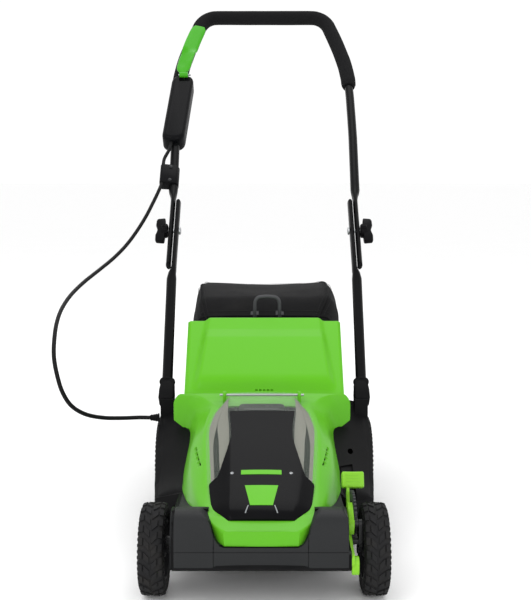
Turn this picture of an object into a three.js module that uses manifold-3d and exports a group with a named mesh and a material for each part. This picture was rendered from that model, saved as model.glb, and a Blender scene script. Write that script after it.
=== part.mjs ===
// A cordless push lawn mower: a moulded deck on four wheels, a hood with a battery bay and a see-through
// battery door, a rear flap over a grass bag, and a folding tube handle with a switch box and a bail lever.
// Millimetres. X is to the right seen from the front, +Y runs from the nose to the handle, +Z is up.
// The pieces are placed from the front wheel axis on the ground, and the whole is then moved so that the
// origin is under the middle of the machine.
import * as THREE from 'three';
import { mergeVertices } from 'three/addons/utils/BufferGeometryUtils.js';
import Module from 'manifold-3d';

const wasm = await Module();
wasm.setup();

// ---------------------------------------------------------------- driving dimensions
const gap = 0.4;                    // between pieces that rest on each other
const noseY = -90;                  // front face of the deck
const topBarS = 1143;               // top bar's centre line, measured along the handle from its base
const handleAngle = Math.PI / 4;    // rake of the whole handle above the ground
const handleBaseY = 345, handleBaseZ = 229;
const foamRadius = 17.5, tubeRadius = 10, tubeWall = 1.3;
const tailY = handleBaseY + topBarS * Math.cos(handleAngle) + foamRadius;
const middleY = (noseY + tailY) / 2;

const frontWheelRadius = 70, rearWheelRadius = 85;
const wheelBase = 445;
const wheelInner = 149, wheelWidth = 39;
const crankY = 24.5, crankZ = 20.6; // from a wheel axis forward and up to the axle's pivot in the deck
const axleRadius = 5;
const linkArm = 28;                 // height of the link pins above the axle pivots

const bladeY = 215, bladeRadius = 163, bladeZ = 68;
const roofZ = 104, skirtZ = 30;      // top of the chamber roof and foot of its skirt
const motorZ = 104.4;                // foot of the motor can, on a raised seat
const shell = 4;                    // moulded wall

const coverY = -62, coverZ = 128, coverSlope = 0.37; // battery door's rim plane: front edge and pitch
const flapY = 300, flapZ = 233, flapSlope = 0.7;     // rear flap hinge and pitch
const cableGlandZ = 203;


const knobS = 416, lowerEndS = 497, upperEndS = 321; // along the handle
const lowerX = 184.8, upperX = 196.4;                // centres of the flattened tube ends
const flatHalf = 5.3, flatWide = 12.4;

const colours = {
  black: 0x262627, green: 0x6cc832, lime: 0x91d644, rubber: 0x2e2e2f, steel: 0x9a9c9e,
  tube: 0x1f1f20, foam: 0x1b1b1b, clear: 0xa9aca0, fabric: 0x1e1e1f, copper: 0xb87333,
  board: 0x1f5c38, grey: 0x4a4b4d,
};
const finish = {
  plastic: (colour) => new THREE.MeshStandardMaterial({ color: colour, roughness: 0.55, metalness: 0 }),
  metal: (colour) => new THREE.MeshStandardMaterial({ color: colour, roughness: 0.35, metalness: 0.9 }),
  soft: (colour) => new THREE.MeshStandardMaterial({ color: colour, roughness: 0.9, metalness: 0 }),
};

// ---------------------------------------------------------------- making solids
function solidOf(geometry) {
  const plain = geometry.index ? geometry.toNonIndexed() : geometry.clone();
  for (const name of Object.keys(plain.attributes)) if (name !== 'position') plain.deleteAttribute(name);
  const merged = mergeVertices(plain, 1e-4);
  return new wasm.Manifold(new wasm.Mesh({
    numProp: 3,
    vertProperties: merged.attributes.position.array,
    triVerts: new Uint32Array(merged.index.array),
  }));
}

function geometryOf(solid) {
  const mesh = solid.getMesh();
  const geometry = new THREE.BufferGeometry();
  geometry.setAttribute('position', new THREE.BufferAttribute(mesh.vertProperties, 3));
  geometry.setIndex(new THREE.BufferAttribute(mesh.triVerts, 1));
  geometry.computeVertexNormals();
  return geometry;
}

const join = (...geometries) => geometryOf(geometries.map(solidOf).reduce((a, b) => a.add(b)));
const cut = (body, ...tools) => geometryOf(
  tools.map(solidOf).reduce((a, b) => a.subtract(b), solidOf(body)));
const common = (a, b) => geometryOf(solidOf(a).intersect(solidOf(b)));

// A box given by its limits along each axis.
function block([x0, x1], [y0, y1], [z0, z1]) {
  return new THREE.BoxGeometry(x1 - x0, y1 - y0, z1 - z0)
    .translate((x0 + x1) / 2, (y0 + y1) / 2, (z0 + z1) / 2);
}

// A cylinder or cone frustum between two points.
function rod(from, to, radius, sides = 12, endRadius = radius) {
  const a = new THREE.Vector3(...from), b = new THREE.Vector3(...to);
  const along = b.clone().sub(a);
  const geometry = new THREE.CylinderGeometry(endRadius, radius, along.length(), sides);
  const up = new THREE.Vector3(0, 1, 0);
  const turn = new THREE.Quaternion().setFromUnitVectors(up, along.clone().normalize());
  return geometry.applyQuaternion(turn).translate(...a.add(b).multiplyScalar(0.5).toArray());
}

// A cylinder along X, centred on (y, z).
const pinX = (x0, x1, y, z, radius, sides = 12) => rod([x0, y, z], [x1, y, z], radius, sides);
const pinZ = (z0, z1, x, y, radius, sides = 24) => rod([x, y, z0], [x, y, z1], radius, sides);

// An outline in Y and Z, drawn out along X between two limits.
function slabX(outline, x0, x1) {
  const shape = new THREE.Shape(outline.map(([y, z]) => new THREE.Vector2(y, z)));
  const geometry = new THREE.ExtrudeGeometry(shape, { depth: x1 - x0, bevelEnabled: false });
  // the shape's own x, y and depth become Y, Z and X
  const axes = new THREE.Matrix4().makeBasis(
    new THREE.Vector3(0, 1, 0), new THREE.Vector3(0, 0, 1), new THREE.Vector3(1, 0, 0));
  return geometry.applyMatrix4(axes).translate(x0, 0, 0);
}

// An outline in X and Y, drawn up along Z between two limits.
function slabZ(outline, z0, z1) {
  const shape = new THREE.Shape(outline.map(([x, y]) => new THREE.Vector2(x, y)));
  return new THREE.ExtrudeGeometry(shape, { depth: z1 - z0, bevelEnabled: false }).translate(0, 0, z0);
}

// A closed skin over rings of points. Every ring has the same number of points, in the same order round.
function loft(rings) {
  const count = rings[0].length;
  const corners = [];
  const face = (a, b, c) => corners.push(...a, ...b, ...c);
  for (let r = 0; r + 1 < rings.length; r++) {
    for (let i = 0; i < count; i++) {
      const j = (i + 1) % count;
      face(rings[r][i], rings[r + 1][i], rings[r + 1][j]);
      face(rings[r][i], rings[r + 1][j], rings[r][j]);
    }
  }
  for (const [ring, flip] of [[rings[0], false], [rings[rings.length - 1], true]]) {
    for (const [a, b, c] of capOf(ring)) {
      if (flip) face(ring[a], ring[c], ring[b]);
      else face(ring[a], ring[b], ring[c]);
    }
  }
  const geometry = new THREE.BufferGeometry();
  geometry.setAttribute('position', new THREE.Float32BufferAttribute(corners, 3));
  return outward(geometry);
}

// The triangles that close a flat ring, seen along the axis that it faces most.
function capOf(ring) {
  const normal = new THREE.Vector3();
  ring.forEach((p, i) => {
    const q = ring[(i + 1) % ring.length];
    normal.add(new THREE.Vector3(...p).cross(new THREE.Vector3(...q)));
  });
  const size = normal.toArray().map(Math.abs);
  const drop = size.indexOf(Math.max(...size));
  const [u, v] = [0, 1, 2].filter((axis) => axis !== drop);
  const flat = ring.map((p) => new THREE.Vector2(p[u], p[v]));
  const same = THREE.ShapeUtils.isClockWise(flat);
  const faces = THREE.ShapeUtils.triangulateShape(same ? flat.slice().reverse() : flat, []);
  return same ? faces.map((f) => f.map((i) => ring.length - 1 - i).reverse()) : faces;
}

// Turns a closed skin's faces to point outwards.
function outward(geometry) {
  const p = geometry.attributes.position;
  let volume = 0;
  const at = (i) => new THREE.Vector3().fromBufferAttribute(p, i);
  for (let i = 0; i < p.count; i += 3) volume += at(i).dot(at(i + 1).cross(at(i + 2)));
  if (volume > 0) return geometry;
  for (let i = 0; i < p.count; i += 3) {
    const b = at(i + 1), c = at(i + 2);
    p.setXYZ(i + 1, c.x, c.y, c.z);
    p.setXYZ(i + 2, b.x, b.y, b.z);
  }
  return geometry;
}

// A symmetric ring across the machine at one Y, from its right half given as [x, z] from the bottom up.
const acrossRing = (y, half) => [
  ...half.map(([x, z]) => [x, y, z]),
  ...half.slice().reverse().map(([x, z]) => [-x, y, z]),
];

// A tube on a curve: an extruded round section.
function tubeOn(curve, radius, steps, sides) {
  const section = new THREE.Shape();
  for (let i = 0; i < sides; i++) {
    const a = (2 * Math.PI * i) / sides;
    const x = radius * Math.cos(a), y = radius * Math.sin(a);
    if (i === 0) section.moveTo(x, y);
    else section.lineTo(x, y);
  }
  return new THREE.ExtrudeGeometry(section, { steps, extrudePath: curve, curveSegments: 1 });
}

// Straight runs joined by round bends: points are [x, y, z, bend radius].
function bentPath(points) {
  const path = new THREE.CurvePath();
  const at = (p) => new THREE.Vector3(p[0], p[1], p[2]);
  let start = at(points[0]);
  for (let i = 1; i + 1 < points.length; i++) {
    const corner = at(points[i]);
    const back = at(points[i - 1]).sub(corner).normalize();
    const on = at(points[i + 1]).sub(corner).normalize();
    const reach = points[i][3] * Math.tan((Math.PI - back.angleTo(on)) / 2);
    const a = corner.clone().addScaledVector(back, reach);
    const b = corner.clone().addScaledVector(on, reach);
    path.add(new THREE.LineCurve3(start, a));
    path.add(new THREE.QuadraticBezierCurve3(a, corner, b));
    start = b;
  }
  path.add(new THREE.LineCurve3(start, at(points[points.length - 1])));
  return path;
}

const model = new THREE.Group();
const piece = (name, geometry, material, parent = model) => {
  const mesh = new THREE.Mesh(geometry, material);
  mesh.name = name;
  parent.add(mesh);
  return mesh;
};
// ---------------------------------------------------------------- wheels and height gear
const frontPivot = [-crankY, frontWheelRadius + crankZ];
const rearPivot = [wheelBase - crankY, rearWheelRadius + crankZ];
const armX = [142.6, 147.6];
const rodX = [136.4, 142];

function wheel(radius, rimRadius, y, x0, side, tag) {
  const facets = 28;
  const half = Math.PI / facets;
  const tread = radius / Math.cos(half);
  const lathe = (profile, count) => {
    const points = profile.map(([r, x]) => new THREE.Vector2(r, x));
    points.push(points[0].clone());
    return outward(new THREE.LatheGeometry(points, count, Math.PI / count).toNonIndexed())
      .rotateZ(-side * Math.PI / 2).translate(side * x0, y, radius);
  };
  const w = wheelWidth;
  piece(`${tag}_tyre`, lathe([[rimRadius + gap, 1], [tread - 6, 0], [tread, 6], [tread, w - 6],
    [tread - 6, w], [rimRadius + gap, w - 1]], facets), finish.soft(colours.rubber));
  piece(`${tag}_hub`, lathe([[axleRadius + gap, 0.5], [15, 0.5], [15, 15], [rimRadius - 7, 15],
    [rimRadius - 7, 2], [rimRadius, 2], [rimRadius, w - 2], [rimRadius - 7, w - 2], [rimRadius - 7, 21],
    [15, 21], [15, w - 6], [axleRadius + gap, w - 6]], 20), finish.plastic(colours.grey));
}

// A plate across X with a round eye at every corner, each [y, z, radius].
function armPlate([x0, x1], corners) {
  const eyes = corners.map(([y, z, r]) => pinX(x0, x1, y, z, r));
  const webs = corners.slice(1).map(([y, z, r], i) => {
    const [ya, za, ra] = corners[i];
    const along = new THREE.Vector2(y - ya, z - za).normalize();
    const [ny, nz] = [-along.y, along.x];
    return slabX([[ya + ny * ra, za + nz * ra], [ya - ny * ra, za - nz * ra],
      [y - ny * r, z - nz * r], [y + ny * r, z + nz * r]], x0, x1);
  });
  return join(...eyes, ...webs);
}

// A cranked axle: a shaft in the deck, an arm and a spindle at each end, and a pin for the link.
function crankedAxle(name, [py, pz], wheelY, wheelZ, arms, spindleEnd) {
  const parts = [pinX(-arms[0], arms[0], py, pz, axleRadius, 14)];
  for (const side of [-1, 1]) {
    const [a, b] = [side * arms[0], side * arms[1]].sort((p, q) => p - q);
    parts.push(armPlate([a, b], [[py, pz, 8], [wheelY, wheelZ, 8]]));
    parts.push(pinX(side * (arms[0] + 1), side * spindleEnd, wheelY, wheelZ, axleRadius, 14));
  }
  parts.push(armPlate(armX, [[py, pz, 8], [py, pz + linkArm, 6]]));
  parts.push(pinX(rodX[0] - 1.6, armX[0] + 1, py, pz + linkArm, 2.8));
  piece(name, join(...parts), finish.metal(colours.steel));
}

crankedAxle('front_axle', frontPivot, 0, frontWheelRadius, armX, wheelInner + wheelWidth - 4);
const rearInner = 168;
crankedAxle('rear_axle', rearPivot, wheelBase, rearWheelRadius, [160, 165], rearInner + wheelWidth - 4);

for (const [side, word] of [[-1, 'left'], [1, 'right']]) {
  wheel(frontWheelRadius, 46, 0, wheelInner, side, `front_${word}`);
  wheel(rearWheelRadius, 60, wheelBase, rearInner, side, `rear_${word}`);
}

const rodEnds = [frontPivot, rearPivot].map(([y, z]) => [y, z + linkArm, 6]);
piece('height_link_rod', cut(
  join(armPlate(rodX, [rodEnds[0], [rodEnds[0][0] + 10, rodEnds[0][1] + 0.3, 3.2]]),
    armPlate(rodX, [rodEnds[1], [rodEnds[1][0] - 10, rodEnds[1][1] - 0.3, 3.2]]),
    armPlate(rodX, [[...rodEnds[0].slice(0, 2), 3.2], [...rodEnds[1].slice(0, 2), 3.2]])),
  ...rodEnds.map(([y, z]) => pinX(rodX[0] - 1, rodX[1] + 1, y, z, 3.2, 16))), finish.metal(colours.steel));

// The height lever is a green plate on the front axle, with a tail towards the nose and a wide grip.
const leverX = [127.2, 131.6];
const leverHead = [30, 169];
const leverNeck = [leverHead[0] - 8, leverHead[1] - 13];
piece('height_lever', cut(
  armPlate(leverX, [[-84, 86, 9], [...frontPivot, 13], [14, 138, 7], [...leverNeck, 6]]),
  pinX(leverX[0] - 1, leverX[1] + 1, ...frontPivot, axleRadius + 0.3, 20)), finish.plastic(colours.lime));
const gripBlock = new THREE.BoxGeometry(33, 20, 24).rotateX(-0.4).translate(137.5, ...leverHead);
piece('lever_grip', cut(gripBlock,
  armPlate([leverX[0] - gap, leverX[1] + gap], [[14, 138, 7.4], [...leverNeck, 6.4]])),
finish.plastic(colours.lime));

// The notched plate that the lever clicks into, fixed to the deck's shoulder behind it.
const quadrantX = [132.2, 135.8];
const arcPoint = (radius, degrees) => [
  frontPivot[0] + radius * Math.cos(degrees * Math.PI / 180),
  frontPivot[1] + radius * Math.sin(degrees * Math.PI / 180)];
const quadrantOutline = [];
for (let a = 30; a <= 126; a += 6) {
  quadrantOutline.push(arcPoint(76, a), arcPoint(76, a + 2), arcPoint(71, a + 3), arcPoint(71, a + 5));
}
for (let a = 130; a >= 34; a -= 12) quadrantOutline.push(arcPoint(60, a));
quadrantOutline.push([86, 106], [86, 120]);
piece('height_quadrant', slabX(quadrantOutline, ...quadrantX), finish.plastic(colours.grey));

// ---------------------------------------------------------------- hood outline, used to cut the deck
const hoodShift = -4;
// [y, bottom x, bottom z, flank x, flank z, rim x, rim z]
const hoodStations = [
  [-84, 60.5, 105.5, 68, 124, 66, 127.6], [-62, 71, 105.5, 75, 124, 74, 127.8],
  [-40, 76, 106, 82, 134, 80, 136.5], [0, 109, 133.5, 101, 144, 86, 151],
  [60, 127, 132, 112, 158, 91, 173], [120, 135, 132, 118, 172, 95, 195.5],
  [160, 134.5, 142, 119, 184, 97, 210], [200, 133, 153, 116, 196, 93, 224],
  [240, 131, 166, 112, 208, 86, 238], [262, 130.5, 173, 112, 214, 100, 240],
  [280, 131, 179, 128, 212, 110, 240], [291, 150, 198, 150, 220, 140, 236],
];
function hoodSkin(inset, drop) {
  const last = hoodStations.length - 1;
  return loft(hoodStations.map(([y, x0, z0, x1, z1, x2, z2], i) => {
    const end = i === 0 ? inset : i === last ? -inset : 0;
    const side = inset * 1.15;
    return acrossRing(y + end, [[x0 - side, z0 - drop], [x0 - side, z0 + inset * 0.2],
      [x1 - side, z1 - inset * 0.5], [x2 - inset, z2 - inset]]);
  })).translate(hoodShift, 0, 0);
}

// ---------------------------------------------------------------- deck
const bladeRoom = 172, chamberWall = 176;
const tunnelX = 132;
const tunnelWallTop = (y) => flapZ + flapSlope * (y - flapY) - 9;

// The upper body's outer skin from the front wheels back: [y, half width, bottom, edge z, inner x, inner z].
const shoulderStations = [
  [86, 148, 62, 108, 118, 133], [110, 179, 56, 114, 118, 136], [150, 184, 52, 124, 118, 144],
  [240, 190, 60, 162, 118, 176], [310, 190, 90, 196, 128, 206], [348, 188, 120, 214, 150, 224],
];
function shoulderSkin(inset, drop) {
  const last = shoulderStations.length - 1;
  return loft(shoulderStations.map(([y, w, z0, z1, x2, z2], i) => {
    const end = i === 0 ? inset : i === last ? -inset : 0;
    const side = w - inset;
    return acrossRing(y + end, [[side, z0 - drop], [side, z1 - inset * 1.1], [x2, z2 - inset * 1.3]]);
  }));
}

// The room between the nose blocks for the hood's front: flat below, with sides that sweep up and out.
const noseGapHalf = [
  [55, 104.8], [63, 108], [67.5, 114], [71, 124], [75, 137], [84, 146], [95, 152], [95, 170],
];
const noseGap = (grow) => loft([-95, -45].map((y) => acrossRing(y,
  noseGapHalf.map(([x, z]) => [x + grow, z - (z < 152 ? grow * 0.8 : 0)])))).translate(hoodShift, 0, 0);

function deckShell() {
  const frontOutline = [[-90, 72], [-86, 68], [60, 68], [96, 68], [96, 128], [0, 134], [-30, 146],
    [-58, 150], [-78, 138], [-88, 112], [-90, 104]];
  const frontHollow = [[-86, 60], [92, 60], [92, 124], [0, 130], [-31, 141.6], [-57, 145.4],
    [-75, 135], [-84, 111], [-86, 103]];
  const frontSolid = slabX(frontOutline, -135, 126);
  // beside the height lever the nose stands back above its crease, under a sloped top corner
  const leverRoom = join(block([121.4, 130], [-95, 97], [97.3, 160]),
    block([-8, 8], [-95, 97], [-8, 8]).rotateY(Math.PI / 4).translate(124, 0, 151));
  const front = cut(join(
    cut(frontSolid, slabX(frontHollow, -131, 117), pinZ(skirtZ, roofZ - shell, 0, bladeY, bladeRoom, 36)),
    cut(common(frontSolid, noseGap(shell)), noseGap(0))), leverRoom);
  const plan = [[-132, -87], [122, -87], [124, -60], [124, 88], [148, 93], [177, 110], [182, 150],
    [187, 240], [187, 344], [-187, 344], [-187, 240], [-182, 150], [-177, 110], [-148, 93],
    [-133, 88], [-133, -60]];
  const plate = slabZ(plan, roofZ - shell, roofZ);
  const shoulders = cut(shoulderSkin(0, 0), shoulderSkin(shell, 30),
    block([-112, 112], [80, 360], [roofZ, 400]));
  const wall = cut(pinZ(skirtZ, roofZ - 1, 0, bladeY, chamberWall, 36),
    pinZ(skirtZ - 1, roofZ - shell, 0, bladeY, bladeRoom, 36));
  // the grass tunnel: side walls, ramp and back of the hood bay
  const tunnelSide = [[292, 96], [384, 96], [472, 146], [472, tunnelWallTop(472)], [309, tunnelWallTop(309)],
    [305, flapZ + 5], [296, flapZ + 5], [292, flapZ]];
  const sides = [-1, 1].map((side) => {
    const [a, b] = [side * (tunnelX - shell), side * tunnelX].sort((p, q) => p - q);
    return slabX(tunnelSide, a, b);
  });
  const ramp = slabX([[380, 92], [386, 92], [474, 144], [474, 148], [380, 98]], -tunnelX, tunnelX);
  const tunnelFront = slabX([[294, 100], [298, 100], [298, 222], [294, 222]], -tunnelX, tunnelX);
  const rearLegs = [-1, 1].map((side) => {
    const [a, b] = [side * 150, side * 158].sort((p, q) => p - q);
    return join(slabX([[338, 104], [346, 90], [432, 94], [432, 124], [348, 200], [338, 200]], a, b),
      block([Math.min(side * 130, b), Math.max(side * 130, a)], [344, 350], [150, 196]));
  });
  const sockets = [-1, 1].map((side) => {
    const holder = block([-12.6, 12.6], [-8, 34], [-13.4, 13.4]).rotateX(handleAngle)
      .translate(side * 181, handleBaseY, handleBaseZ);
    const stem = block([-12, 12], [318, 348], [196, 232]).translate(side * 178, 0, 0);
    return join(holder, stem);
  });
  const bosses = [[-132, -113], [104, 121]].map((x) => block(x, [-38, -11], [74, 140]));
  const seat = pinZ(roofZ - 1, roofZ + 6, 0, bladeY, 58, 32);
  let body = join(front, plate, shoulders, wall, ...sides, ramp, tunnelFront, ...rearLegs,
    ...sockets, ...bosses, seat);
  const tubeHoles = [-1, 1].map((side) => {
    const a = handlePoint(side * 181, 1), b = handlePoint(side * 182.5, 60);
    return rod(a, b, tubeRadius + gap, 20);
  });
  const shaftSlots = [[frontPivot, 60], [rearPivot, 80]].map(([[y, z], low]) => join(
    pinX(-170, 170, y, z, axleRadius + 0.6, 20),
    block([-170, 170], [y - axleRadius - 0.6, y + axleRadius + 0.6], [low, z])));
  body = cut(body, hoodSkin(-gap, 1), ...tubeHoles, ...shaftSlots,
    slabX([[298, 60], [379.9, 60], [379.9, 99.4], [470, 148.6], [470, 400], [298, 400]],
      -tunnelX + shell, tunnelX - shell),
    pinZ(skirtZ, roofZ - shell, 0, bladeY, bladeRoom, 36), block([-83, 75.5], [-70, 0], [136, 160]),
    noseGap(0),
    pinZ(90, 140, 0, bladeY, 14, 24), pinZ(roofZ - 0.1, 140, 0, bladeY, 51, 32),
    pinX(-140, 140, flapY, flapZ, 3.6, 16),
    block([133, 150], [80, 360], [roofZ, 141]),
    pinX(-200, -180, 300, cableGlandZ, 6, 16),
    rod([150, 100, 196], [150, 300, 140], 5, 16));
  return body;
}

// A point on the handle: x across, s along from its base, and a height off the tubes' own plane.
function handlePoint(x, s, off = 0) {
  const c = Math.cos(handleAngle), k = Math.sin(handleAngle);
  return [x, handleBaseY + s * c - off * k, handleBaseZ + s * k + off * c];
}

piece('deck_shell', deckShell(), finish.plastic(colours.black));
// A clip pushed up into each axle slot, under the shaft.
const frontBosses = [[-131, -113], [104, 122]];
const rearLegX = [[-158, -150], [150, 158]];
['left', 'right'].forEach((word, i) => {
  const clip = ([x0, x1], [y, z], depth) => cut(
    block([x0 + 0.5, x1 - 0.5], [y - axleRadius - 0.2, y + axleRadius + 0.2], [z - depth, z - 1]),
    pinX(x0, x1, y, z, axleRadius + 0.6, 20));
  piece(`front_axle_clip_${word}`, clip(frontBosses[i], frontPivot, 14), finish.metal(colours.steel));
  piece(`rear_axle_clip_${word}`, clip(rearLegX[i], rearPivot, 12), finish.metal(colours.steel));
});

// ---------------------------------------------------------------- motor and blade
const shaftRadius = 6;
piece('motor_can', cut(
  join(pinZ(motorZ, motorZ + 36, 0, bladeY, 47, 32), pinZ(motorZ + 35, motorZ + 41, 0, bladeY, 38, 32)),
  pinZ(motorZ - 1, motorZ + 60, 0, bladeY, shaftRadius + 0.5, 20)), finish.metal(colours.copper));
piece('control_board', block([-48, 40], [-6, 70], [roofZ + 1, roofZ + 6]), finish.plastic(colours.board));
piece('motor_shaft', pinZ(bladeZ - 8, motorZ + 36, 0, bladeY, shaftRadius, 20), finish.metal(colours.steel));
const shaftHole = (z0, z1) => pinZ(z0, z1, 0, bladeY, shaftRadius + 0.3, 20);
const fanBladeCount = 8;
const fanBlades = Array.from({ length: fanBladeCount }, (_, i) =>
  block([14, 62], [-1.5, 1.5], [bladeZ + 4, bladeZ + 16])
    .rotateZ((i * 2 * Math.PI) / fanBladeCount).translate(0, bladeY, 0));
piece('blade_fan', cut(
  join(pinZ(bladeZ + 2.6, bladeZ + 6, 0, bladeY, 62, 32), pinZ(bladeZ + 5, bladeZ + 22, 0, bladeY, 16),
    ...fanBlades),
  shaftHole(bladeZ, bladeZ + 24)), finish.plastic(colours.black));
const bladeHalf = [[-24, 0], [-24, bladeRadius - 46], [-18, bladeRadius - 14], [4, bladeRadius - 1],
  [18, bladeRadius - 8], [24, bladeRadius - 60], [24, 0]];
const bladeOutline = [...bladeHalf, ...bladeHalf.slice(1, -1).map(([x, y]) => [-x, -y])];
piece('blade', cut(slabZ(bladeOutline, bladeZ - 1.5, bladeZ + 2).translate(0, bladeY, 0),
  shaftHole(bladeZ - 4, bladeZ + 4)), finish.metal(colours.steel));
piece('blade_bolt', cut(
  join(pinZ(bladeZ - 5, bladeZ - 2, 0, bladeY, 17, 24), pinZ(bladeZ - 14, bladeZ - 4.5, 0, bladeY, 11, 6)),
  shaftHole(bladeZ - 8.4, bladeZ)), finish.metal(colours.steel));

// ---------------------------------------------------------------- hood and battery bay
const coverTurn = Math.atan(coverSlope);
const cover = new THREE.Group();
cover.position.set(hoodShift, coverY, coverZ);
cover.rotation.x = coverTurn;
model.add(cover);
const onCover = (geometry) => geometry.rotateX(coverTurn).translate(hoodShift, coverY, coverZ);

// The battery door's outline in its rim plane: [along, half width, ridge half width, ridge height].
const doorStations = [
  [2, 71, 46, 9], [14, 74, 47, 13.5], [36, 77, 48, 15.5], [120, 86, 49, 15], [232, 92.5, 52, 15],
  [290, 84, 56, 16], [320, 70, 56, 17], [339, 61, 54, 15],
];
const doorHinge = [338, 11];
function doorSkin(inset, drop) {
  const last = doorStations.length - 1;
  return loft(doorStations.map(([y, w, ridge, h], i) => {
    const end = i === 0 ? inset : i === last ? -inset : 0;
    return acrossRing(y + end, [[w - inset, 1.3 - drop], [w - 2 - inset, 4],
      [ridge - inset * 0.4, h - inset * 0.8], [ridge * 0.55, h + 1.5 - inset]]);
  }));
}
const bayX = 47, bayY = [140, 326], bayZ = -48, wallBay = 2.4;
const bayOuter = () => block([-bayX, bayX], bayY, [bayZ, -1.5]);
const openingSide = doorStations.map(([y, w]) => [w - 9, y + (y < 10 ? 8 : 0)]).filter(([, y]) => y < 330);
const opening = slabZ([...openingSide, ...openingSide.slice().reverse().map(([x, y]) => [-x, y])], -30, 20);
const lugs = [-1, 1].map((side) => (
  block([side * 75, side * 69].sort((p, q) => p - q), [330, 346], [-22, 17])));
const dashCount = 5, dashPitch = 5;
const dashes = Array.from({ length: dashCount }, (_, i) => {
  const x = hoodShift + dashPitch * (i - 2);
  return block([x - 2, x + 0.4], [266, 275], [220, 262]);
});
const bayClearance = onCover(
  block([-bayX - 0.5, bayX + 0.5], [bayY[0] - 0.5, bayY[1] + 0.5], [bayZ - 0.5, 10]));
piece('motor_hood', cut(
  join(cut(hoodSkin(0, 0), hoodSkin(3, 40), onCover(opening)), ...lugs.map(onCover)),
  onCover(pinX(-90, 90, ...doorHinge, 2.6)), bayClearance, ...dashes), finish.plastic(colours.green));
const bayFlange = block([-bayX - 12, bayX + 12], [bayY[0], 300], [-4.4, -1.5]);
const bayRoom = block([wallBay - bayX, bayX - wallBay], [bayY[0] + wallBay, bayY[1] - wallBay],
  [bayZ + wallBay, 4]);
piece('battery_bay', cut(join(bayOuter(), bayFlange), bayRoom), finish.plastic(colours.black), cover);
piece('battery_terminals', block([-22, 22], [316, 323.2], [-40, -22]), finish.metal(colours.steel), cover);
const packY = [180, 315];
piece('battery_pack', cut(
  join(block([-40, 40], packY, [-44, 6]), block([-34, 34], [packY[0] + 4, packY[1] - 4], [5, 9])),
  block([-14.5, 14.5], [packY[0] - 1, packY[0] + 13], [-24, 12])), finish.plastic(colours.black), cover);
piece('battery_latch', block([-14, 14], [packY[0] + 0.5, packY[0] + 9], [-19, 5]),
  finish.plastic(colours.grey), cover);
piece('safety_key', join(block([-10, 10], [150, 157], [-45, -12]), block([-15, 15], [149, 158], [-13, 2])),
  finish.plastic(colours.green), cover);
piece('door_hinge_pin', pinX(-74, 74, ...doorHinge, 2.2), finish.metal(colours.steel), cover);
const knuckle = pinX(-62, 62, ...doorHinge, 4.6, 16);
piece('battery_door', cut(join(cut(doorSkin(0, 0), doorSkin(2.6, 6)), knuckle),
  pinX(-70, 70, ...doorHinge, 2.6, 16)), finish.plastic(colours.clear), cover);
const panelRings = doorStations.slice(1, 5).map(([y, , ridge, h]) =>
  acrossRing(y, [[ridge * 0.55 - 1, h + 2.2], [ridge * 0.55 - 1, h + 4.4]]));
piece('door_front_panel', loft(panelRings), finish.plastic(colours.black), cover);

// ---------------------------------------------------------------- rear flap
const flapTurn = Math.atan(flapSlope);
const flapFrame = new THREE.Group();
flapFrame.position.set(0, flapY, flapZ);
flapFrame.rotation.x = flapTurn;
model.add(flapFrame);
const flapLength = 206;
const flapHalf = (y) => 145 + (3.6 * y) / flapLength;
const flapPlate = loft([10, 60, 140, flapLength].map((y) => acrossRing(y, [[flapHalf(y), 0.5],
  [flapHalf(y), 5], [flapHalf(y) - 6, 7.5], [112, 7.5], [104, 10], [60, 10.6]])));
const knuckles = [-1, 1].map((side) => join(
  pinX(...[side * 96, side * 122].sort((p, q) => p - q), 0, 0, 5.4, 16),
  block([side * 96, side * 122].sort((p, q) => p - q), [0, 12], [0.8, 5.4])));
piece('rear_flap', cut(join(cut(flapPlate, block([-98, 98], [26, flapLength - 16], [8.4, 20])), ...knuckles),
  pinX(-150, 150, 0, 0, 3.5, 16)), finish.plastic(colours.green), flapFrame);
piece('flap_hinge_rod', pinX(-tunnelX - 4, tunnelX + 4, 0, 0, 3), finish.metal(colours.steel), flapFrame);
piece('flap_spring', cut(pinX(20, 88, 0, 0, 6.4), pinX(19, 89, 0, 0, 3.5)),
  finish.metal(colours.steel), flapFrame);

// ---------------------------------------------------------------- grass bag
const bagMouthY = 476;
// [y, half width, foot, shoulder height, top half width, top]
const bagStations = [
  [bagMouthY + 5, 132, 156, 300, 124, 344], [500, 143, 142, 318, 132, 361],
  [560, 148, 128, 358, 128, 398], [690, 149, 122, 366, 136, 408],
  [800, 143, 134, 352, 132, 400], [838, 120, 176, 320, 112, 366],
];
function bagSkin(inset) {
  return loft(bagStations.map(([y, w, z0, z1, wt, zt], i) => acrossRing(
    y + (i === 0 ? -inset * 3 : i === bagStations.length - 1 ? -inset : 0), [[w * 0.82 - inset, z0 + inset],
      [w - inset, z0 + 26 + inset * 0.4], [w - inset, z1], [wt - inset, zt - inset]])));
}
piece('bag_body', cut(bagSkin(0), bagSkin(3)), finish.soft(colours.fabric));
piece('bag_frame', cut(block([-130, 130], [bagMouthY, bagMouthY + 4.6], [152, 346]),
  block([-122, 122], [bagMouthY - 1, bagMouthY + 6], [160, 338])), finish.plastic(colours.black));
const carryPath = bentPath([[-18, 494, 362, 0], [-16, 490, 402, 12], [28, 490, 402, 12], [30, 494, 362, 0]]);
piece('bag_handle', tubeOn(carryPath, 4.5, 18, 10), finish.soft(colours.grey));

// ---------------------------------------------------------------- handle
const handle = new THREE.Group();
handle.position.set(0, handleBaseY, handleBaseZ);
handle.rotation.x = handleAngle;
model.add(handle);

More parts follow.
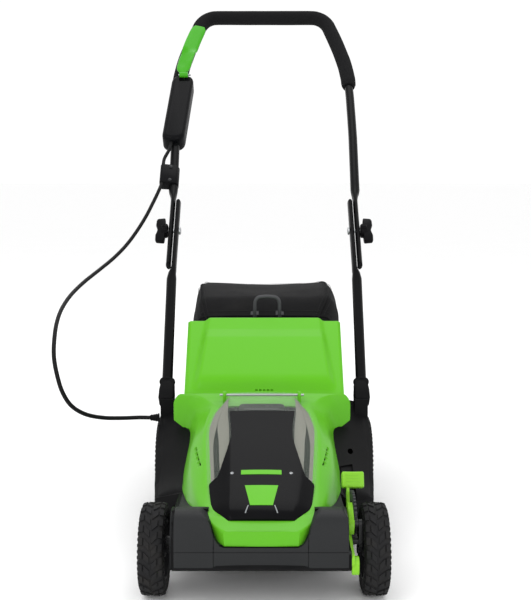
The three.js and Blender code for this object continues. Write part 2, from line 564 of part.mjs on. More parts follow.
// Rings along a path in the handle's plane. Points are [x, s, half thickness in the plane,
// half depth out of it].
function sweepRings(points, shrink, sides = 16) {
  return points.map(([x, s, across, deep], i) => {
    const before = points[Math.max(i - 1, 0)], after = points[Math.min(i + 1, points.length - 1)];
    const along = new THREE.Vector2(after[0] - before[0], after[1] - before[1]).normalize();
    return Array.from({ length: sides }, (_, j) => {
      const a = (2 * Math.PI * (j + 0.5)) / sides;
      const out = (across - shrink) * Math.cos(a);
      return [x + along.y * out, s - along.x * out, (deep - shrink) * Math.sin(a)];
    });
  });
}
function extended(points, by) {
  const longer = (p, q) => {
    const run = Math.hypot(p[0] - q[0], p[1] - q[1]);
    return [p[0] + ((p[0] - q[0]) * by) / run, p[1] + ((p[1] - q[1]) * by) / run, p[2], p[3]];
  };
  const n = points.length;
  return [longer(points[0], points[1]), ...points.slice(1, -1), longer(points[n - 1], points[n - 2])];
}
const hollowTube = (points) => cut(loft(sweepRings(points, 0, 12)),
  loft(sweepRings(extended(points, 4), tubeWall, 8)));

const round = [tubeRadius, tubeRadius], flat = [flatHalf, flatWide];
const lowerPoints = [[181, 2, ...round], [185, 157, ...round], [188, 285, ...round],
  [lowerX, 316, ...flat], [lowerX, lowerEndS, ...flat]];
const gripBend = [[201, 909], [196, 954], [187.5, 1000], [177, 1047], [165, 1094], [159.5, 1112],
  [149, 1129], [135, 1139.5], [119, topBarS]];
const upperRight = [[upperX, upperEndS, ...flat], [upperX, 504, ...flat], [198, 534, ...round],
  [202, 700, ...round], [202.5, 840, ...round], ...gripBend.map(([x, s]) => [x, s, ...round])];
const mirrorPoints = (points) => points.slice().reverse().map(([x, s, a, b]) => [-x, s, a, b]);
const knobAxis = [knobS, 0];
const boltHole = () => pinX(-230, 230, ...knobAxis, 4.3, 16);
for (const [side, word] of [[-1, 'left'], [1, 'right']]) {
  const x = (a, b) => [side * a, side * b].sort((p, q) => p - q);
  const tube = cut(hollowTube(lowerPoints.map(([px, ...rest]) => [side * px, ...rest])), boltHole());
  piece(`lower_handle_${word}`, tube, finish.metal(colours.tube), handle);
  const bolt = join(pinX(...x(176, 179), ...knobAxis, 9, 20), pinX(...x(178.5, 217), ...knobAxis, 4, 16));
  piece(`knob_bolt_${word}`, bolt, finish.metal(colours.steel), handle);
  const hub = pinX(...x(202.2, 215), ...knobAxis, 14, 24);
  const wingRing = (half) => [
    ringCorner(side, 208, half), ringCorner(side, 229, half * 0.7),
    ringCorner(side, 229, -half * 0.7), ringCorner(side, 208, -half)];
  const wing = loft([[-31, 7], [-14, 11], [14, 11], [31, 7]].map(([s, half]) => (
    wingRing(half).map(([px, z]) => [px, knobS + s, z]))));
  piece(`wing_knob_${word}`, cut(join(hub, wing), pinX(...x(200, 219), ...knobAxis, 4.4, 16)),
    finish.plastic(colours.black), handle);
}
function ringCorner(side, x, z) {
  return [side * x, z];
}
const wholeUpper = [...upperRight, ...mirrorPoints(upperRight)];
piece('upper_handle', cut(hollowTube(wholeUpper), boltHole()), finish.metal(colours.tube), handle);
const foamStart = [202, 876];
const foamPath = [foamStart, ...gripBend].map(([x, s]) => [x, s, foamRadius, foamRadius]);
const foamWhole = [...foamPath, ...mirrorPoints(foamPath)];
piece('foam_grip', cut(loft(sweepRings(foamWhole, 0, 14)),
  loft(sweepRings(extended(foamWhole, 4), foamRadius - tubeRadius - 0.8, 12))),
  finish.soft(colours.foam), handle);

// ---------------------------------------------------------------- switch box, start button and bail lever
const boxX = [-219, -162], boxS = [664, 906];
function boxOutline(inset) {
  const outline = new THREE.Shape();
  const [x0, x1] = [boxX[0] + inset, boxX[1] - inset];
  const [s0, s1] = [boxS[0] + inset, boxS[1] - inset];
  const r = 26 - inset;
  outline.moveTo(x0 + r, s0);
  outline.lineTo(x1 - r, s0);
  outline.absarc(x1 - r, s0 + r, r, -Math.PI / 2, 0);
  outline.lineTo(x1, s1 - r);
  outline.absarc(x1 - r, s1 - r, r, 0, Math.PI / 2);
  outline.lineTo(x0 + r, s1);
  outline.absarc(x0 + r, s1 - r, r, Math.PI / 2, Math.PI);
  outline.lineTo(x0, s0 + r);
  outline.absarc(x0 + r, s0 + r, r, Math.PI, 1.5 * Math.PI);
  return outline;
}
const boxSlab = (inset, z0, z1) => new THREE.ExtrudeGeometry(boxOutline(inset),
  { depth: z1 - z0, bevelEnabled: false, curveSegments: 6 }).translate(0, 0, z0);
const roundRings = (points, radius) => loft(sweepRings(points.map(([x, s]) => [x, s, radius, radius]), 0));
const boxTube = roundRings(wholeUpper, tubeRadius + 0.4);
const boxFoam = roundRings(extended(foamWhole, 2), foamRadius + 0.5);
const buttonS = 826;
const buttonHole = () => pinX(-232, -208, buttonS, 0, 10.4, 24);
const cableExit = [-210, 664, 13];
const leverPivot = [888, 27];
const leverSlot = () => block([-201, -176], [868, 930], [19, 60]);
const switchRoom = block([-214, -168], [680, 850], [11, 21]);
piece('switch_box_front', cut(join(boxSlab(0, 0.3, 18), boxSlab(5, 17, 25)), boxTube, boxFoam,
  buttonHole(), leverSlot(), pinX(-206, -172, ...leverPivot, 2.7), switchRoom),
finish.plastic(colours.black), handle);
piece('switch_box_back', cut(boxSlab(0, -20, -0.3), boxTube, boxFoam, buttonHole()),
  finish.plastic(colours.black), handle);
piece('start_button', pinX(-224, -216.4, buttonS, 0, 9.8, 24), finish.plastic(colours.lime), handle);
piece('lever_pin', pinX(-203.4, -176.6 + 2, ...leverPivot, 2.4), finish.metal(colours.steel), handle);

const squeeze = 0.09;                // the lever's slope away from the grip
const leverTop = (s) => leverPivot[1] + 4 + (s - leverPivot[0]) * squeeze;
const leverLine = [[-192, 888, 7], [-193, 904, 15], [-191, 940, 18], [-184, 990, 18], [-175, 1040, 18],
  [-166, 1080, 18], [-162, 1098, 15]];
const leverRings = leverLine.map(([x, s, half]) => {
  const low = leverTop(s) - 5, high = leverTop(s) + 2;
  return [[x - half, s, low], [x + half, s, low], [x + half, s, high], [x - half, s, high]];
});
piece('bail_lever', cut(join(loft(leverRings), pinX(-199, -183, ...leverPivot, 6.5, 20)),
  pinX(-210, -170, ...leverPivot, 2.8, 16)), finish.plastic(colours.lime), handle);

// ---------------------------------------------------------------- cable
const cableRadius = 3.75;
const clipS = [540, 604], clipCable = [-223, 12];
piece('cable_clip', cut(join(block([-229, -184], clipS, [-13, 17])),
  roundRings(mirrorPoints(upperRight), tubeRadius + 0.35),
  rod([clipCable[0], clipS[0] - 2, clipCable[1]], [clipCable[0], clipS[1] + 2, clipCable[1]],
    cableRadius + 0.35, 12)), finish.plastic(colours.black), handle);
const heldRun = new THREE.CatmullRomCurve3([[cableExit[0], boxS[0] - gap, cableExit[2]], [-212, 650, 13],
  [-221, 624, 12], [clipCable[0], 610, 12], [clipCable[0], 596, 12], [clipCable[0], 566, 12],
  [clipCable[0], clipS[0] - 4, 12]]
  .map((p) => new THREE.Vector3(...p)));
piece('switch_cable_held', tubeOn(heldRun, cableRadius, 12, 10), finish.soft(colours.rubber), handle);

const loopRoute = [
  [-223.15, 710.6, 618.6], [-229, 694, 602], [-238, 673, 580], [-250, 648, 553], [-266, 620, 524],
  [-284, 588, 497], [-304, 548, 474], [-326, 496, 454], [-346, 434, 436], [-359, 370, 419],
  [-365, 312, 401], [-365, 264, 382], [-362, 226, 359], [-358, 200, 333], [-351, 188, 304],
  [-343, 190, 274], [-331, 204, 247], [-312, 230, 226], [-286, 258, 213], [-256, 284, 206],
  [-228, 300, 203.2], [-207.4, 300, 203],
];
const loopCurve = new THREE.CatmullRomCurve3(loopRoute.map((p) => new THREE.Vector3(...p)));
piece('switch_cable', tubeOn(loopCurve, cableRadius, 50, 8), finish.soft(colours.rubber));
piece('cable_gland', join(rod([-206.5, 300, cableGlandZ], [-190.8, 300, cableGlandZ], 5, 20, 8),
  pinX(-191.5, -187.5, 300, cableGlandZ, 5.6, 20)), finish.soft(colours.rubber));

// ---------------------------------------------------------------- whole mower
const lawnMower = new THREE.Group();
model.position.y = -middleY;
lawnMower.add(model);
export default lawnMower;
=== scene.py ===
import math

import bmesh
import bpy
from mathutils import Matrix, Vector, noise


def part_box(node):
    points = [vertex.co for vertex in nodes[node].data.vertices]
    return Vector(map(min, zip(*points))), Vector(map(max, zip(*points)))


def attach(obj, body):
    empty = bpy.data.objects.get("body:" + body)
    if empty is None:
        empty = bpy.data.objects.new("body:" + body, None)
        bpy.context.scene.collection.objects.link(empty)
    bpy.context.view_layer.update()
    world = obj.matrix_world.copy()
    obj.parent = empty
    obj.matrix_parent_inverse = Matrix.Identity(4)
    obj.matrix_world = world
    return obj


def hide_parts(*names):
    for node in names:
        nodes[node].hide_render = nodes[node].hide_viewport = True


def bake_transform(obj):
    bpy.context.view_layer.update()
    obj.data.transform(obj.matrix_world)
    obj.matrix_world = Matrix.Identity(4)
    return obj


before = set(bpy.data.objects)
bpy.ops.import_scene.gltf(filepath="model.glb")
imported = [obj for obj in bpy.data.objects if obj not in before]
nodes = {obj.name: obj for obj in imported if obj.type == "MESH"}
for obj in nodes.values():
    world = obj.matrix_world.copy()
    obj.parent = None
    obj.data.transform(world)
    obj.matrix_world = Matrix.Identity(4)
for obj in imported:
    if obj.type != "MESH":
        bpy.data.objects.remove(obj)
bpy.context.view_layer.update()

# places: millimetres from the front wheels' contact line, turned into the frame's metres
millimetre = 0.001
axleY = sum(corner.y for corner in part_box("front_left_tyre")) / 2
handleFrame = {"y": 345, "z": 229, "angle": math.radians(45)}
coverFrame = {"x": -4, "y": -62, "z": 128, "angle": math.atan(0.37)}
flapFrame = {"x": 0, "y": 300, "z": 233, "angle": math.atan(0.7)}


def place(x, y, z):
    return Vector((x * millimetre, axleY + y * millimetre, z * millimetre))


def inFrame(f, x, along, off):
    c, s = math.cos(f["angle"]), math.sin(f["angle"])
    return place(f.get("x", 0) + x, f["y"] + along * c - off * s, f["z"] + along * s + off * c)


def onHandle(x, along, off=0):
    return inFrame(handleFrame, x, along, off)


def onCover(x, along, off=0):
    return inFrame(coverFrame, x, along, off)


def onFlap(x, along, off=0):
    return inFrame(flapFrame, x, along, off)


def fromSide(y, z, x):
    # a point of a side view
    return place(x, y, z)


def acrossCover(x, off, along):
    return onCover(x, along, off)


# small maths
hands = {"left": -1, "right": 1}    # the sign of x on each side of the mower


def mix(a, b, t):
    return a + (b - a) * t


def part(k, count):
    # the angle of the k-th of so many even steps round a circle
    return 2 * math.pi * k / count


def ends(row, i):
    # the row's four entries about the step from i to i + 1
    return [row[max(i - 1, 0)], row[i], row[i + 1], row[min(i + 2, len(row) - 1)]]


def curve(a, b, c, d, u):
    # from b to c, with the slopes that a and d give
    return 0.5 * (2 * b + (c - a) * u + (2 * a - 5 * b + 4 * c - d) * u * u + (3 * b - a - 3 * c + d) * u ** 3)


def smooth(a, b, value):
    t = min(max((value - a) / (b - a), 0), 1)
    return t * t * (3 - 2 * t)


def spline(points, t):
    n = len(points) - 1
    i = min(int(t * n), n - 1)
    return [curve(*column, t * n - i) for column in zip(*ends(points, i))]


def splinePoints(points, count):
    return [spline(points, i / (count - 1)) for i in range(count)]


def stationsBetween(stations, step):
    # rows keyed by their first number, refined by a curve through the others
    rows = []
    for i in range(len(stations) - 1):
        n = max(1, round(abs(stations[i + 1][0] - stations[i][0]) / step))
        for k in range(n):
            rows.append(hermite(ends(stations, i), k / n))
    rows.append(list(stations[-1]))
    return rows


def hermite(p, u):
    # slopes are taken against the first column, so uneven stations don't overshoot
    key = [row[0] for row in p]
    span = key[2] - key[1]
    row = [mix(key[1], key[2], u)]
    for column in range(1, len(p[1])):
        a, b, c, d = (q[column] for q in p)
        before = (b - a) / (key[1] - key[0]) if key[1] != key[0] else (c - b) / span
        after = (d - c) / (key[3] - key[2]) if key[3] != key[2] else (c - b) / span
        here = (c - b) / span
        startSlope = 0 if before * here <= 0 else 2 * before * here / (before + here)
        endSlope = 0 if after * here <= 0 else 2 * after * here / (after + here)
        row.append((2 * u ** 3 - 3 * u ** 2 + 1) * b + (u ** 3 - 2 * u ** 2 + u) * span * startSlope
                   + (3 * u ** 2 - 2 * u ** 3) * c + (u ** 3 - u ** 2) * span * endSlope)
    return row


def rounded(outline, radius, steps=5, closed=True):
    # an outline with its corners rounded; a point may carry its own radius as a third number
    result = []
    n = len(outline)
    for i, corner in enumerate(outline):
        here = Vector(corner[:2])
        r = corner[2] if len(corner) > 2 else radius
        if (not closed and i in (0, n - 1)) or r <= 0:
            result.append((here.x, here.y))
            continue
        toA = Vector(outline[i - 1][:2]) - here
        toB = Vector(outline[(i + 1) % n][:2]) - here
        cut = min(r, toA.length * 0.48, toB.length * 0.48)
        a, b = here + toA.normalized() * cut, here + toB.normalized() * cut
        for k in range(steps + 1):
            t = k / steps
            q = a * (1 - t) ** 2 + here * 2 * t * (1 - t) + b * t * t
            result.append((q.x, q.y))
    return result


def oblong(xs, ys, radius=0, steps=5):
    # a rectangle with rounded corners, from its left foot round; a pair of radii is for its foot and its top
    foot, top = radius if isinstance(radius, tuple) else (radius, radius)
    corners = [(xs[0], ys[0], foot), (xs[1], ys[0], foot), (xs[1], ys[1], top), (xs[0], ys[1], top)]
    return rounded(corners, 0, steps)


# meshes
def linked(name, points, edges, faces):
    mesh = bpy.data.meshes.new(name)
    mesh.from_pydata([tuple(p) for p in points], edges, faces)
    piece = bpy.data.objects.new(name, mesh)
    bpy.context.scene.collection.objects.link(piece)
    return piece


def merge(mesh, turnOut, slivers=False):
    # joins doubled points, and turns the faces outwards when asked
    work = bmesh.new()
    work.from_mesh(mesh)
    bmesh.ops.remove_doubles(work, verts=work.verts, dist=1e-6)
    if slivers:
        bmesh.ops.dissolve_degenerate(work, edges=work.edges, dist=1e-7)
    if turnOut:
        bmesh.ops.recalc_face_normals(work, faces=work.faces)
    work.to_mesh(mesh)
    work.free()


def newPiece(name, points, faces, material, body, replaces=(), slot=None, sharp=32, keep=False):
    return finishPiece(linked(name, points, [], faces), material, body, replaces, sharp, keep)


def finishPiece(piece, material, body, replaces=(), sharp=32, keep=False):
    mesh = piece.data
    merge(mesh, not keep, True)
    mesh.polygons.foreach_set("use_smooth", [True] * len(mesh.polygons))
    mesh.set_sharp_from_angle(angle=math.radians(sharp))
    mesh.update()
    mesh.materials.clear()
    mesh.materials.append(material)
    if body:
        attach(piece, body)
    if replaces:
        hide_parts(*replaces)
    return piece


def skinOf(rings, around=True, caps=True):
    # points and quads over rows of points; a row closes on itself when around is set
    points = [p for ring in rings for p in ring]
    n = len(rings[0])
    faces = []
    for r in range(len(rings) - 1):
        for i in range(n if around else n - 1):
            j = (i + 1) % n
            faces.append((r * n + i, r * n + j, (r + 1) * n + j, (r + 1) * n + i))
    if caps and around:
        faces.append(tuple(range(n - 1, -1, -1)))
        faces.append(tuple((len(rings) - 1) * n + i for i in range(n)))
    return points, faces


def joined(parts):
    points, faces = [], []
    for p, f in parts:
        start = len(points)
        points += p
        faces += [tuple(i + start for i in face) for face in f]
    return points, faces


def sweep(path, radii, sides=24, flat=None, caps=True):
    # a tube on a path of points; radii is one number or one (across, deep) pair for each point
    count = len(path)
    rings = []
    normal = None
    for i, p in enumerate(path):
        along = (path[min(i + 1, count - 1)] - path[max(i - 1, 0)]).normalized()
        if normal is None:
            normal = (flat or (Vector((1, 0, 0)) if abs(along.x) < 0.9 else Vector((0, 1, 0)))).copy()
        normal = (normal - along * normal.dot(along)).normalized()
        side = along.cross(normal)
        across, deep = radii[i] if isinstance(radii, list) else (radii, radii)
        rings.append([p + normal * (deep * math.cos(part(k, sides))) + side * (across * math.sin(part(k, sides)))
                      for k in range(sides)])
    return skinOf(rings, caps=caps)


def lathe(profile, toPoint, sides=64, closed=False):
    # profile rows are (radius, along); toPoint places (cos, sin, along) in the frame
    rings = [[toPoint(r * math.cos(part(k, sides)), r * math.sin(part(k, sides)), a)
              for k in range(sides)] for r, a in profile]
    if closed:
        rings.append(rings[0])
    return skinOf(rings, caps=not closed)


def prism(outline, toPoint, low, high, bevel=0.0):
    # an outline between two heights, with its edges eased by bevel
    def ring(inset, height):
        centre = Vector((sum(p[0] for p in outline), sum(p[1] for p in outline))) / len(outline)
        result = []
        for p in outline:
            v = Vector(p[:2]) - centre
            v = v * (1 - inset / max(v.length, inset * 1.01)) if inset else v
            result.append(toPoint(centre.x + v.x, centre.y + v.y, height))
        return result
    if not bevel:
        return skinOf([ring(0, low), ring(0, high)])
    ease = [(bevel, 0), (bevel * 0.3, bevel * 0.3), (0, bevel)]
    rings = [ring(i, low + h) for i, h in ease] + [ring(i, high - h) for i, h in reversed(ease)]
    return skinOf(rings)


def frozen(piece):
    # what the modifiers make becomes the piece's own plain mesh
    bpy.context.view_layer.update()
    evaluated = piece.evaluated_get(bpy.context.evaluated_depsgraph_get())
    mesh = bpy.data.meshes.new_from_object(evaluated)
    piece.modifiers.clear()
    piece.data = mesh
    return piece


def withModifier(piece, kind, **values):
    modifier = piece.modifiers.new(kind.title(), kind)
    for key, value in values.items():
        setattr(modifier, key, value)
    return frozen(piece)


def cutBy(piece, cutters, operation="DIFFERENCE"):
    for cutter in cutters:
        withModifier(piece, "BOOLEAN", object=cutter, operation=operation, solver="EXACT")
    for cutter in cutters:
        bpy.data.objects.remove(cutter)
    return piece


def rawPiece(name, shape):
    piece = linked(name, shape[0], [], shape[1])
    merge(piece.data, True)
    return piece


def cutter(outline, toPoint, low, high):
    return rawPiece("cutter", prism(outline, toPoint, low, high))


# shader maths
class Maths:
    def __init__(self, tree, socket):
        self.tree, self.socket = tree, socket

    def withOther(self, operation, other):
        node = self.tree.nodes.new("ShaderNodeMath")
        node.operation = operation
        for slot, value in zip(node.inputs, (self, other)):
            if isinstance(value, Maths):
                self.tree.links.new(value.socket, slot)
            else:
                slot.default_value = value
        return Maths(self.tree, node.outputs[0])

    def __add__(self, other):
        return self.withOther("ADD", other)

    def __mul__(self, other):
        return self.withOther("MULTIPLY", other)

    __radd__, __rmul__ = __add__, __mul__


class Finish:
    def __init__(self, name, colour, roughness, metallic=0.0, **fixed):
        self.material = bpy.data.materials.new(name)
        self.material.use_nodes = True
        self.material.diffuse_color = (*colour, 1)
        self.tree = self.material.node_tree
        self.surface = self.tree.nodes["Principled BSDF"]
        self.set("Base Color", (*colour, 1))
        self.set("Roughness", roughness)
        self.set("Metallic", metallic)
        for key, value in fixed.items():
            self.set(key.replace("_", " "), value)

    def set(self, name, value):
        self.surface.inputs[name].default_value = value

    def node(self, kind, settings=None, **sockets):
        node = self.tree.nodes.new(kind)
        for key, value in (settings or {}).items():
            setattr(node, key, value)
        for key, value in sockets.items():
            slot = node.inputs[int(key[2:])] if key.startswith("in") else node.inputs[key.replace("_", " ")]
            if isinstance(value, Maths):
                self.tree.links.new(value.socket, slot)
            elif isinstance(value, bpy.types.NodeSocket):
                self.tree.links.new(value, slot)
            else:
                slot.default_value = value
        return node

    def value(self, node, output=0):
        return Maths(self.tree, node.outputs[output])

    def coords(self, kind="Object"):
        return self.node("ShaderNodeTexCoord").outputs[kind]

    def noise(self, size, detail=2.0, roughness=0.5, stretch=None):
        where = self.coords()
        if stretch:
            where = self.node("ShaderNodeMapping", None, Vector=where, Scale=stretch).outputs[0]
        made = self.node("ShaderNodeTexNoise", None, Vector=where, Scale=1 / size, Detail=detail,
                         Roughness=roughness)
        return self.value(made)

    def cells(self, size, feature="F1"):
        made = self.node("ShaderNodeTexVoronoi", {"feature": feature}, Vector=self.coords(), Scale=1 / size)
        return self.value(made)

    def between(self, value, low, high, toLow=0.0, toHigh=1.0):
        made = self.node("ShaderNodeMapRange", {"clamp": True}, Value=value, From_Min=low, From_Max=high,
                         To_Min=toLow, To_Max=toHigh)
        return self.value(made)

    def tint(self, factor, first, second):
        made = self.node("ShaderNodeMix", {"data_type": "RGBA"}, Factor=factor)
        for slot, colour in ((made.inputs[6], first), (made.inputs[7], second)):
            if isinstance(colour, bpy.types.NodeSocket):
                self.tree.links.new(colour, slot)
            else:
                slot.default_value = (*colour, 1)
        return made.outputs[2]

    def colour(self, socket):
        self.tree.links.new(socket, self.surface.inputs["Base Color"])

    def roughness(self, value):
        self.tree.links.new(value.socket, self.surface.inputs["Roughness"])

    def bump(self, height, depth):
        made = self.node("ShaderNodeBump", None, Height=height, Distance=depth, Strength=1.0)
        self.tree.links.new(made.outputs[0], self.surface.inputs["Normal"])


def linear(hexColour):
    channels = [int(hexColour[i:i + 2], 16) / 255 for i in (0, 2, 4)]
    return tuple(c / 12.92 if c <= 0.04045 else ((c + 0.055) / 1.055) ** 2.4 for c in channels)


def scaled(colour, factor):
    return tuple(c * factor for c in colour)


def mouldedPlastic(name, hexColour, roughness, grain=0.00045, depth=0.00006, worn=0.12, coat=0.0, shine=0.3):
    # moulded plastic: a fine spark-eroded grain, slow changes of gloss, a little dust and scuffing
    colour = linear(hexColour)
    made = Finish(name, colour, roughness, Coat_Weight=coat, Coat_Roughness=0.18, Specular_IOR_Level=shine)
    grainHeight = made.noise(grain, 3.0, 0.6)
    slow = made.noise(0.09, 3.0)
    scuff = made.between(made.noise(0.012, 5.0, 0.7, stretch=(1.0, 0.35, 1.6)), 0.56, 0.78)
    dusty = made.between(slow, 0.42, 0.75, 0.0, worn)
    pale = tuple(mix(c, 0.32, 0.35) for c in colour)
    made.colour(made.tint(dusty + scuff * (worn * 0.5), colour, pale))
    made.roughness(made.between(slow, 0.3, 0.7, roughness * 0.88, roughness * 1.12) + scuff * 0.08)
    made.bump(grainHeight + slow * 0.4, depth)
    return made.material


def tyreRubber():
    colour = linear("1f1f20")
    made = Finish("tyreRubber", colour, 0.78, Specular_IOR_Level=0.12)
    dust = made.between(made.noise(0.03, 5.0, 0.65), 0.45, 0.72, 0.0, 0.5)
    made.colour(made.tint(dust, colour, linear("34322f")))
    made.roughness(made.between(dust, 0.0, 0.5, 0.68, 0.92))
    made.bump(made.noise(0.0009, 4.0, 0.6) + made.noise(0.006) * 0.5, 0.00018)
    return made.material


def foamRubber():
    colour = linear("161617")
    made = Finish("foamRubber", colour, 0.92, Specular_IOR_Level=0.08)
    pores = made.between(made.cells(0.0011), 0.1, 0.55)
    slow = made.noise(0.02, 3.0)
    made.colour(made.tint(pores * 0.6 + slow * 0.25, scaled(colour, 0.55), scaled(colour, 1.5)))
    made.bump(pores + made.noise(0.004, 3.0) * 0.7, 0.00035)
    return made.material


def powderCoat():
    colour = linear("0e0e0f")
    made = Finish("powderCoat", colour, 0.26, Coat_Weight=0.06, Coat_Roughness=0.12, Specular_IOR_Level=0.04)
    peel = made.noise(0.0022, 2.0)
    scratch = made.between(made.noise(0.004, 5.0, 0.7, stretch=(1.0, 0.08, 0.08)), 0.66, 0.82)
    made.colour(made.tint(scratch * 0.35, colour, linear("29292a")))
    made.roughness(made.between(made.noise(0.05, 3.0), 0.3, 0.7, 0.2, 0.34) + scratch * 0.15)
    made.bump(peel, 0.00006)
    return made.material


def wovenFabric():
    # a plain weave on the cloth's own UV map, which is in metres
    colour = linear("121213")
    made = Finish("bagFabric", colour, 0.86, Sheen_Weight=0.02, Sheen_Roughness=0.5, Specular_IOR_Level=0.08)
    uv = made.coords("UV")
    parts = made.node("ShaderNodeSeparateXYZ", None, Vector=uv)
    thread = 2 * math.pi / 0.0016
    warp, weft = (made.value(made.node("ShaderNodeMath", {"operation": "SINE"}, in0=made.value(parts, axis) * thread))
                  for axis in (0, 1))
    weave = warp * weft
    slow = made.noise(0.05, 4.0, 0.6)
    dust = made.between(slow, 0.48, 0.75, 0.0, 0.35)
    lift = made.between(weave, -1.0, 1.0, 0.0, 1.0)
    base = made.tint(lift, scaled(colour, 0.7), scaled(colour, 1.45))
    made.colour(made.tint(dust, base, linear("232221")))
    made.bump(lift + made.noise(0.0007, 2.0) * 0.4, 0.00022)
    return made.material


def clearPlastic():
    made = Finish("smokedClear", (0.34, 0.38, 0.34), 0.15, Alpha=0.09, Specular_IOR_Level=0.4)
    haze = made.between(made.noise(0.03, 4.0), 0.35, 0.7)
    made.roughness(made.between(haze, 0.0, 1.0, 0.1, 0.24))
    made.colour(made.tint(haze * 0.5, (0.32, 0.37, 0.32), (0.42, 0.46, 0.41)))
    made.bump(made.noise(0.004, 2.0), 0.00004)
    return made.material


def metal(name, hexColour, roughness, brushed=None, stain=0.2):
    colour = linear(hexColour)
    made = Finish(name, colour, roughness, 1.0)
    grain = made.noise(0.0012, 3.0, 0.6, stretch=brushed) if brushed else made.noise(0.0016, 3.0)
    slow = made.noise(0.02, 4.0, 0.6)
    made.colour(made.tint(made.between(slow, 0.4, 0.75, 0.0, stain), colour, scaled(colour, 0.55)))
    made.roughness(made.between(grain, 0.3, 0.7, roughness * 0.8, roughness * 1.3))
    made.bump(grain, 0.00005)
    return made.material


def circuitBoard():
    colour = linear("1f6a3c")
    made = Finish("circuitBoard", colour, 0.35, Coat_Weight=0.4)
    tracks = made.between(made.cells(0.007, "DISTANCE_TO_EDGE"), 0.03, 0.06)
    made.colour(made.tint(tracks, linear("a8873a"), colour))
    made.bump(tracks, 0.00008)
    return made.material


finishes = {
    "deck": mouldedPlastic("deckPlastic", "0f0f10", 0.5, worn=0.03, shine=0.05),
    "nose": mouldedPlastic("nosePlastic", "242526", 0.55, worn=0.03, shine=0.12),
    "hood": mouldedPlastic("hoodGreen", "57a61e", 0.32, 0.0007, 0.00003, 0.03, 0.05, 0.15),
    "flap": mouldedPlastic("flapGreen", "58ab18", 0.34, 0.0007, 0.00003, 0.03, 0.05, 0.12),
    "lime": mouldedPlastic("limeGreen", "77b628", 0.36, 0.0006, 0.00004, 0.04, 0.05, 0.15),
    "bail": mouldedPlastic("bailGreen", "3b9a12", 0.32, 0.0006, 0.00004, 0.03, 0.08, 0.15),
    "grey": mouldedPlastic("greyPlastic", "2c2d2f", 0.5, shine=0.2),
    "hub": mouldedPlastic("hubPlastic", "1d1d1f", 0.48, worn=0.06, shine=0.15),
    "black": mouldedPlastic("switchBlack", "0b0b0d", 0.42, 0.0005, 0.00005, 0.02, 0.04, 0.04),
    "gloss": mouldedPlastic("panelBlack", "08080a", 0.22, 0.0012, 0.00002, 0.01, 0.09, 0.015),
    # painted highlight: the light grey of the two slanted strips under the door badge, which stand in for light on
    # the finger recess's edges
    "mark": mouldedPlastic("markGrey", "84888a", 0.4, 0.0008, 0.00002, 0.05),
    "liner": mouldedPlastic("linerGrey", "7d7b72", 0.6, 0.0012, 0.00004, 0.06, shine=0.1),
    "trim": mouldedPlastic("trimWebbing", "121213", 0.85, 0.0008, 0.0001, 0.05, shine=0.08),
    "thread": mouldedPlastic("bagThread", "2b2b2c", 0.85, 0.0005, 0.00005, 0.05, shine=0.08),
    "tyre": tyreRubber(),
    "foam": foamRubber(),
    "tube": powderCoat(),
    "fabric": wovenFabric(),
    "clear": clearPlastic(),
    "zinc": metal("zincSteel", "a9abad", 0.34),
    "steel": mouldedPlastic("paintedSteel", "1b1c1e", 0.4, 0.0014, 0.00004, 0.05, 0.1, 0.2),
    "blade": metal("bladeSteel", "6f7173", 0.42, (1.0, 0.06, 1.0)),
    "copper": metal("motorCan", "8d7f6e", 0.45),
    "board": circuitBoard(),
    "cable": mouldedPlastic("cableSheath", "0f0f10", 0.55, 0.0006, 0.00005, 0.04, shine=0.12),
    "strap": mouldedPlastic("strapGrey", "3e3f41", 0.6, 0.0009, 0.0001, 0.06, shine=0.15),
}
print("finishes made:", len(finishes))


# camera, lights and floor
cameraSettings = {"behind": 1507, "height": 640, "pitch": 83, "lens": 61.02, "shift": 0.0022}
cameraData = bpy.data.cameras.new("camera")
cameraData.lens = cameraSettings["lens"]
cameraData.sensor_width = 36
cameraData.shift_x = cameraSettings["shift"]
camera = bpy.data.objects.new("camera", cameraData)
camera.location = place(0, -cameraSettings["behind"], cameraSettings["height"])
camera.rotation_euler = (math.radians(cameraSettings["pitch"]), 0, 0)
bpy.context.scene.collection.objects.link(camera)
bpy.context.scene.camera = camera
bpy.context.scene.view_settings.view_transform = "Standard"

lamps = {
    "keyLamp": {"at": (-1.4, -2.4, 2.4), "size": 1.6, "power": 26},
    "fillLamp": {"at": (0.9, -2.7, 0.8), "size": 1.6, "power": 14},
    "topLamp": {"at": (0.2, 0.9, 3.0), "size": 1.8, "power": 20},
    "backLamp": {"at": (-0.8, 3.0, 1.8), "size": 2.0, "power": 10},
}
for name, lamp in lamps.items():
    data = bpy.data.lights.new(name, "AREA")
    data.size = lamp["size"]
    data.energy = lamp["power"]
    light = bpy.data.objects.new(name, data)
    light.location = lamp["at"]
    light.rotation_euler = (Vector((0, 0, 0.35)) - light.location).to_track_quat("-Z", "Y").to_euler()
    bpy.context.scene.collection.objects.link(light)
world = bpy.data.worlds.new("studio")
world.use_nodes = True
backdrop = world.node_tree.nodes["Background"].inputs
backdrop["Color"].default_value = (1, 1, 1, 1)
backdrop["Strength"].default_value = 1.04
bpy.context.scene.world = world

floorDisc = {"radius": 80, "under": 0.0006, "sides": 48}
floorFinish = Finish("floor", (0.95, 0.95, 0.95), 0.9, Specular_IOR_Level=0.1)
floorFinish.colour(floorFinish.tint(floorFinish.noise(0.4, 3.0), (0.94, 0.94, 0.94), (0.96, 0.96, 0.96)))
floorPoints = [Vector((floorDisc["radius"] * math.cos(a), floorDisc["radius"] * math.sin(a), -floorDisc["under"]))
               for a in (part(k, floorDisc["sides"]) for k in range(floorDisc["sides"]))]
newPiece("floor", floorPoints, [tuple(range(floorDisc["sides"]))], floorFinish.material, None, keep=True)
print("camera, lights and floor set")

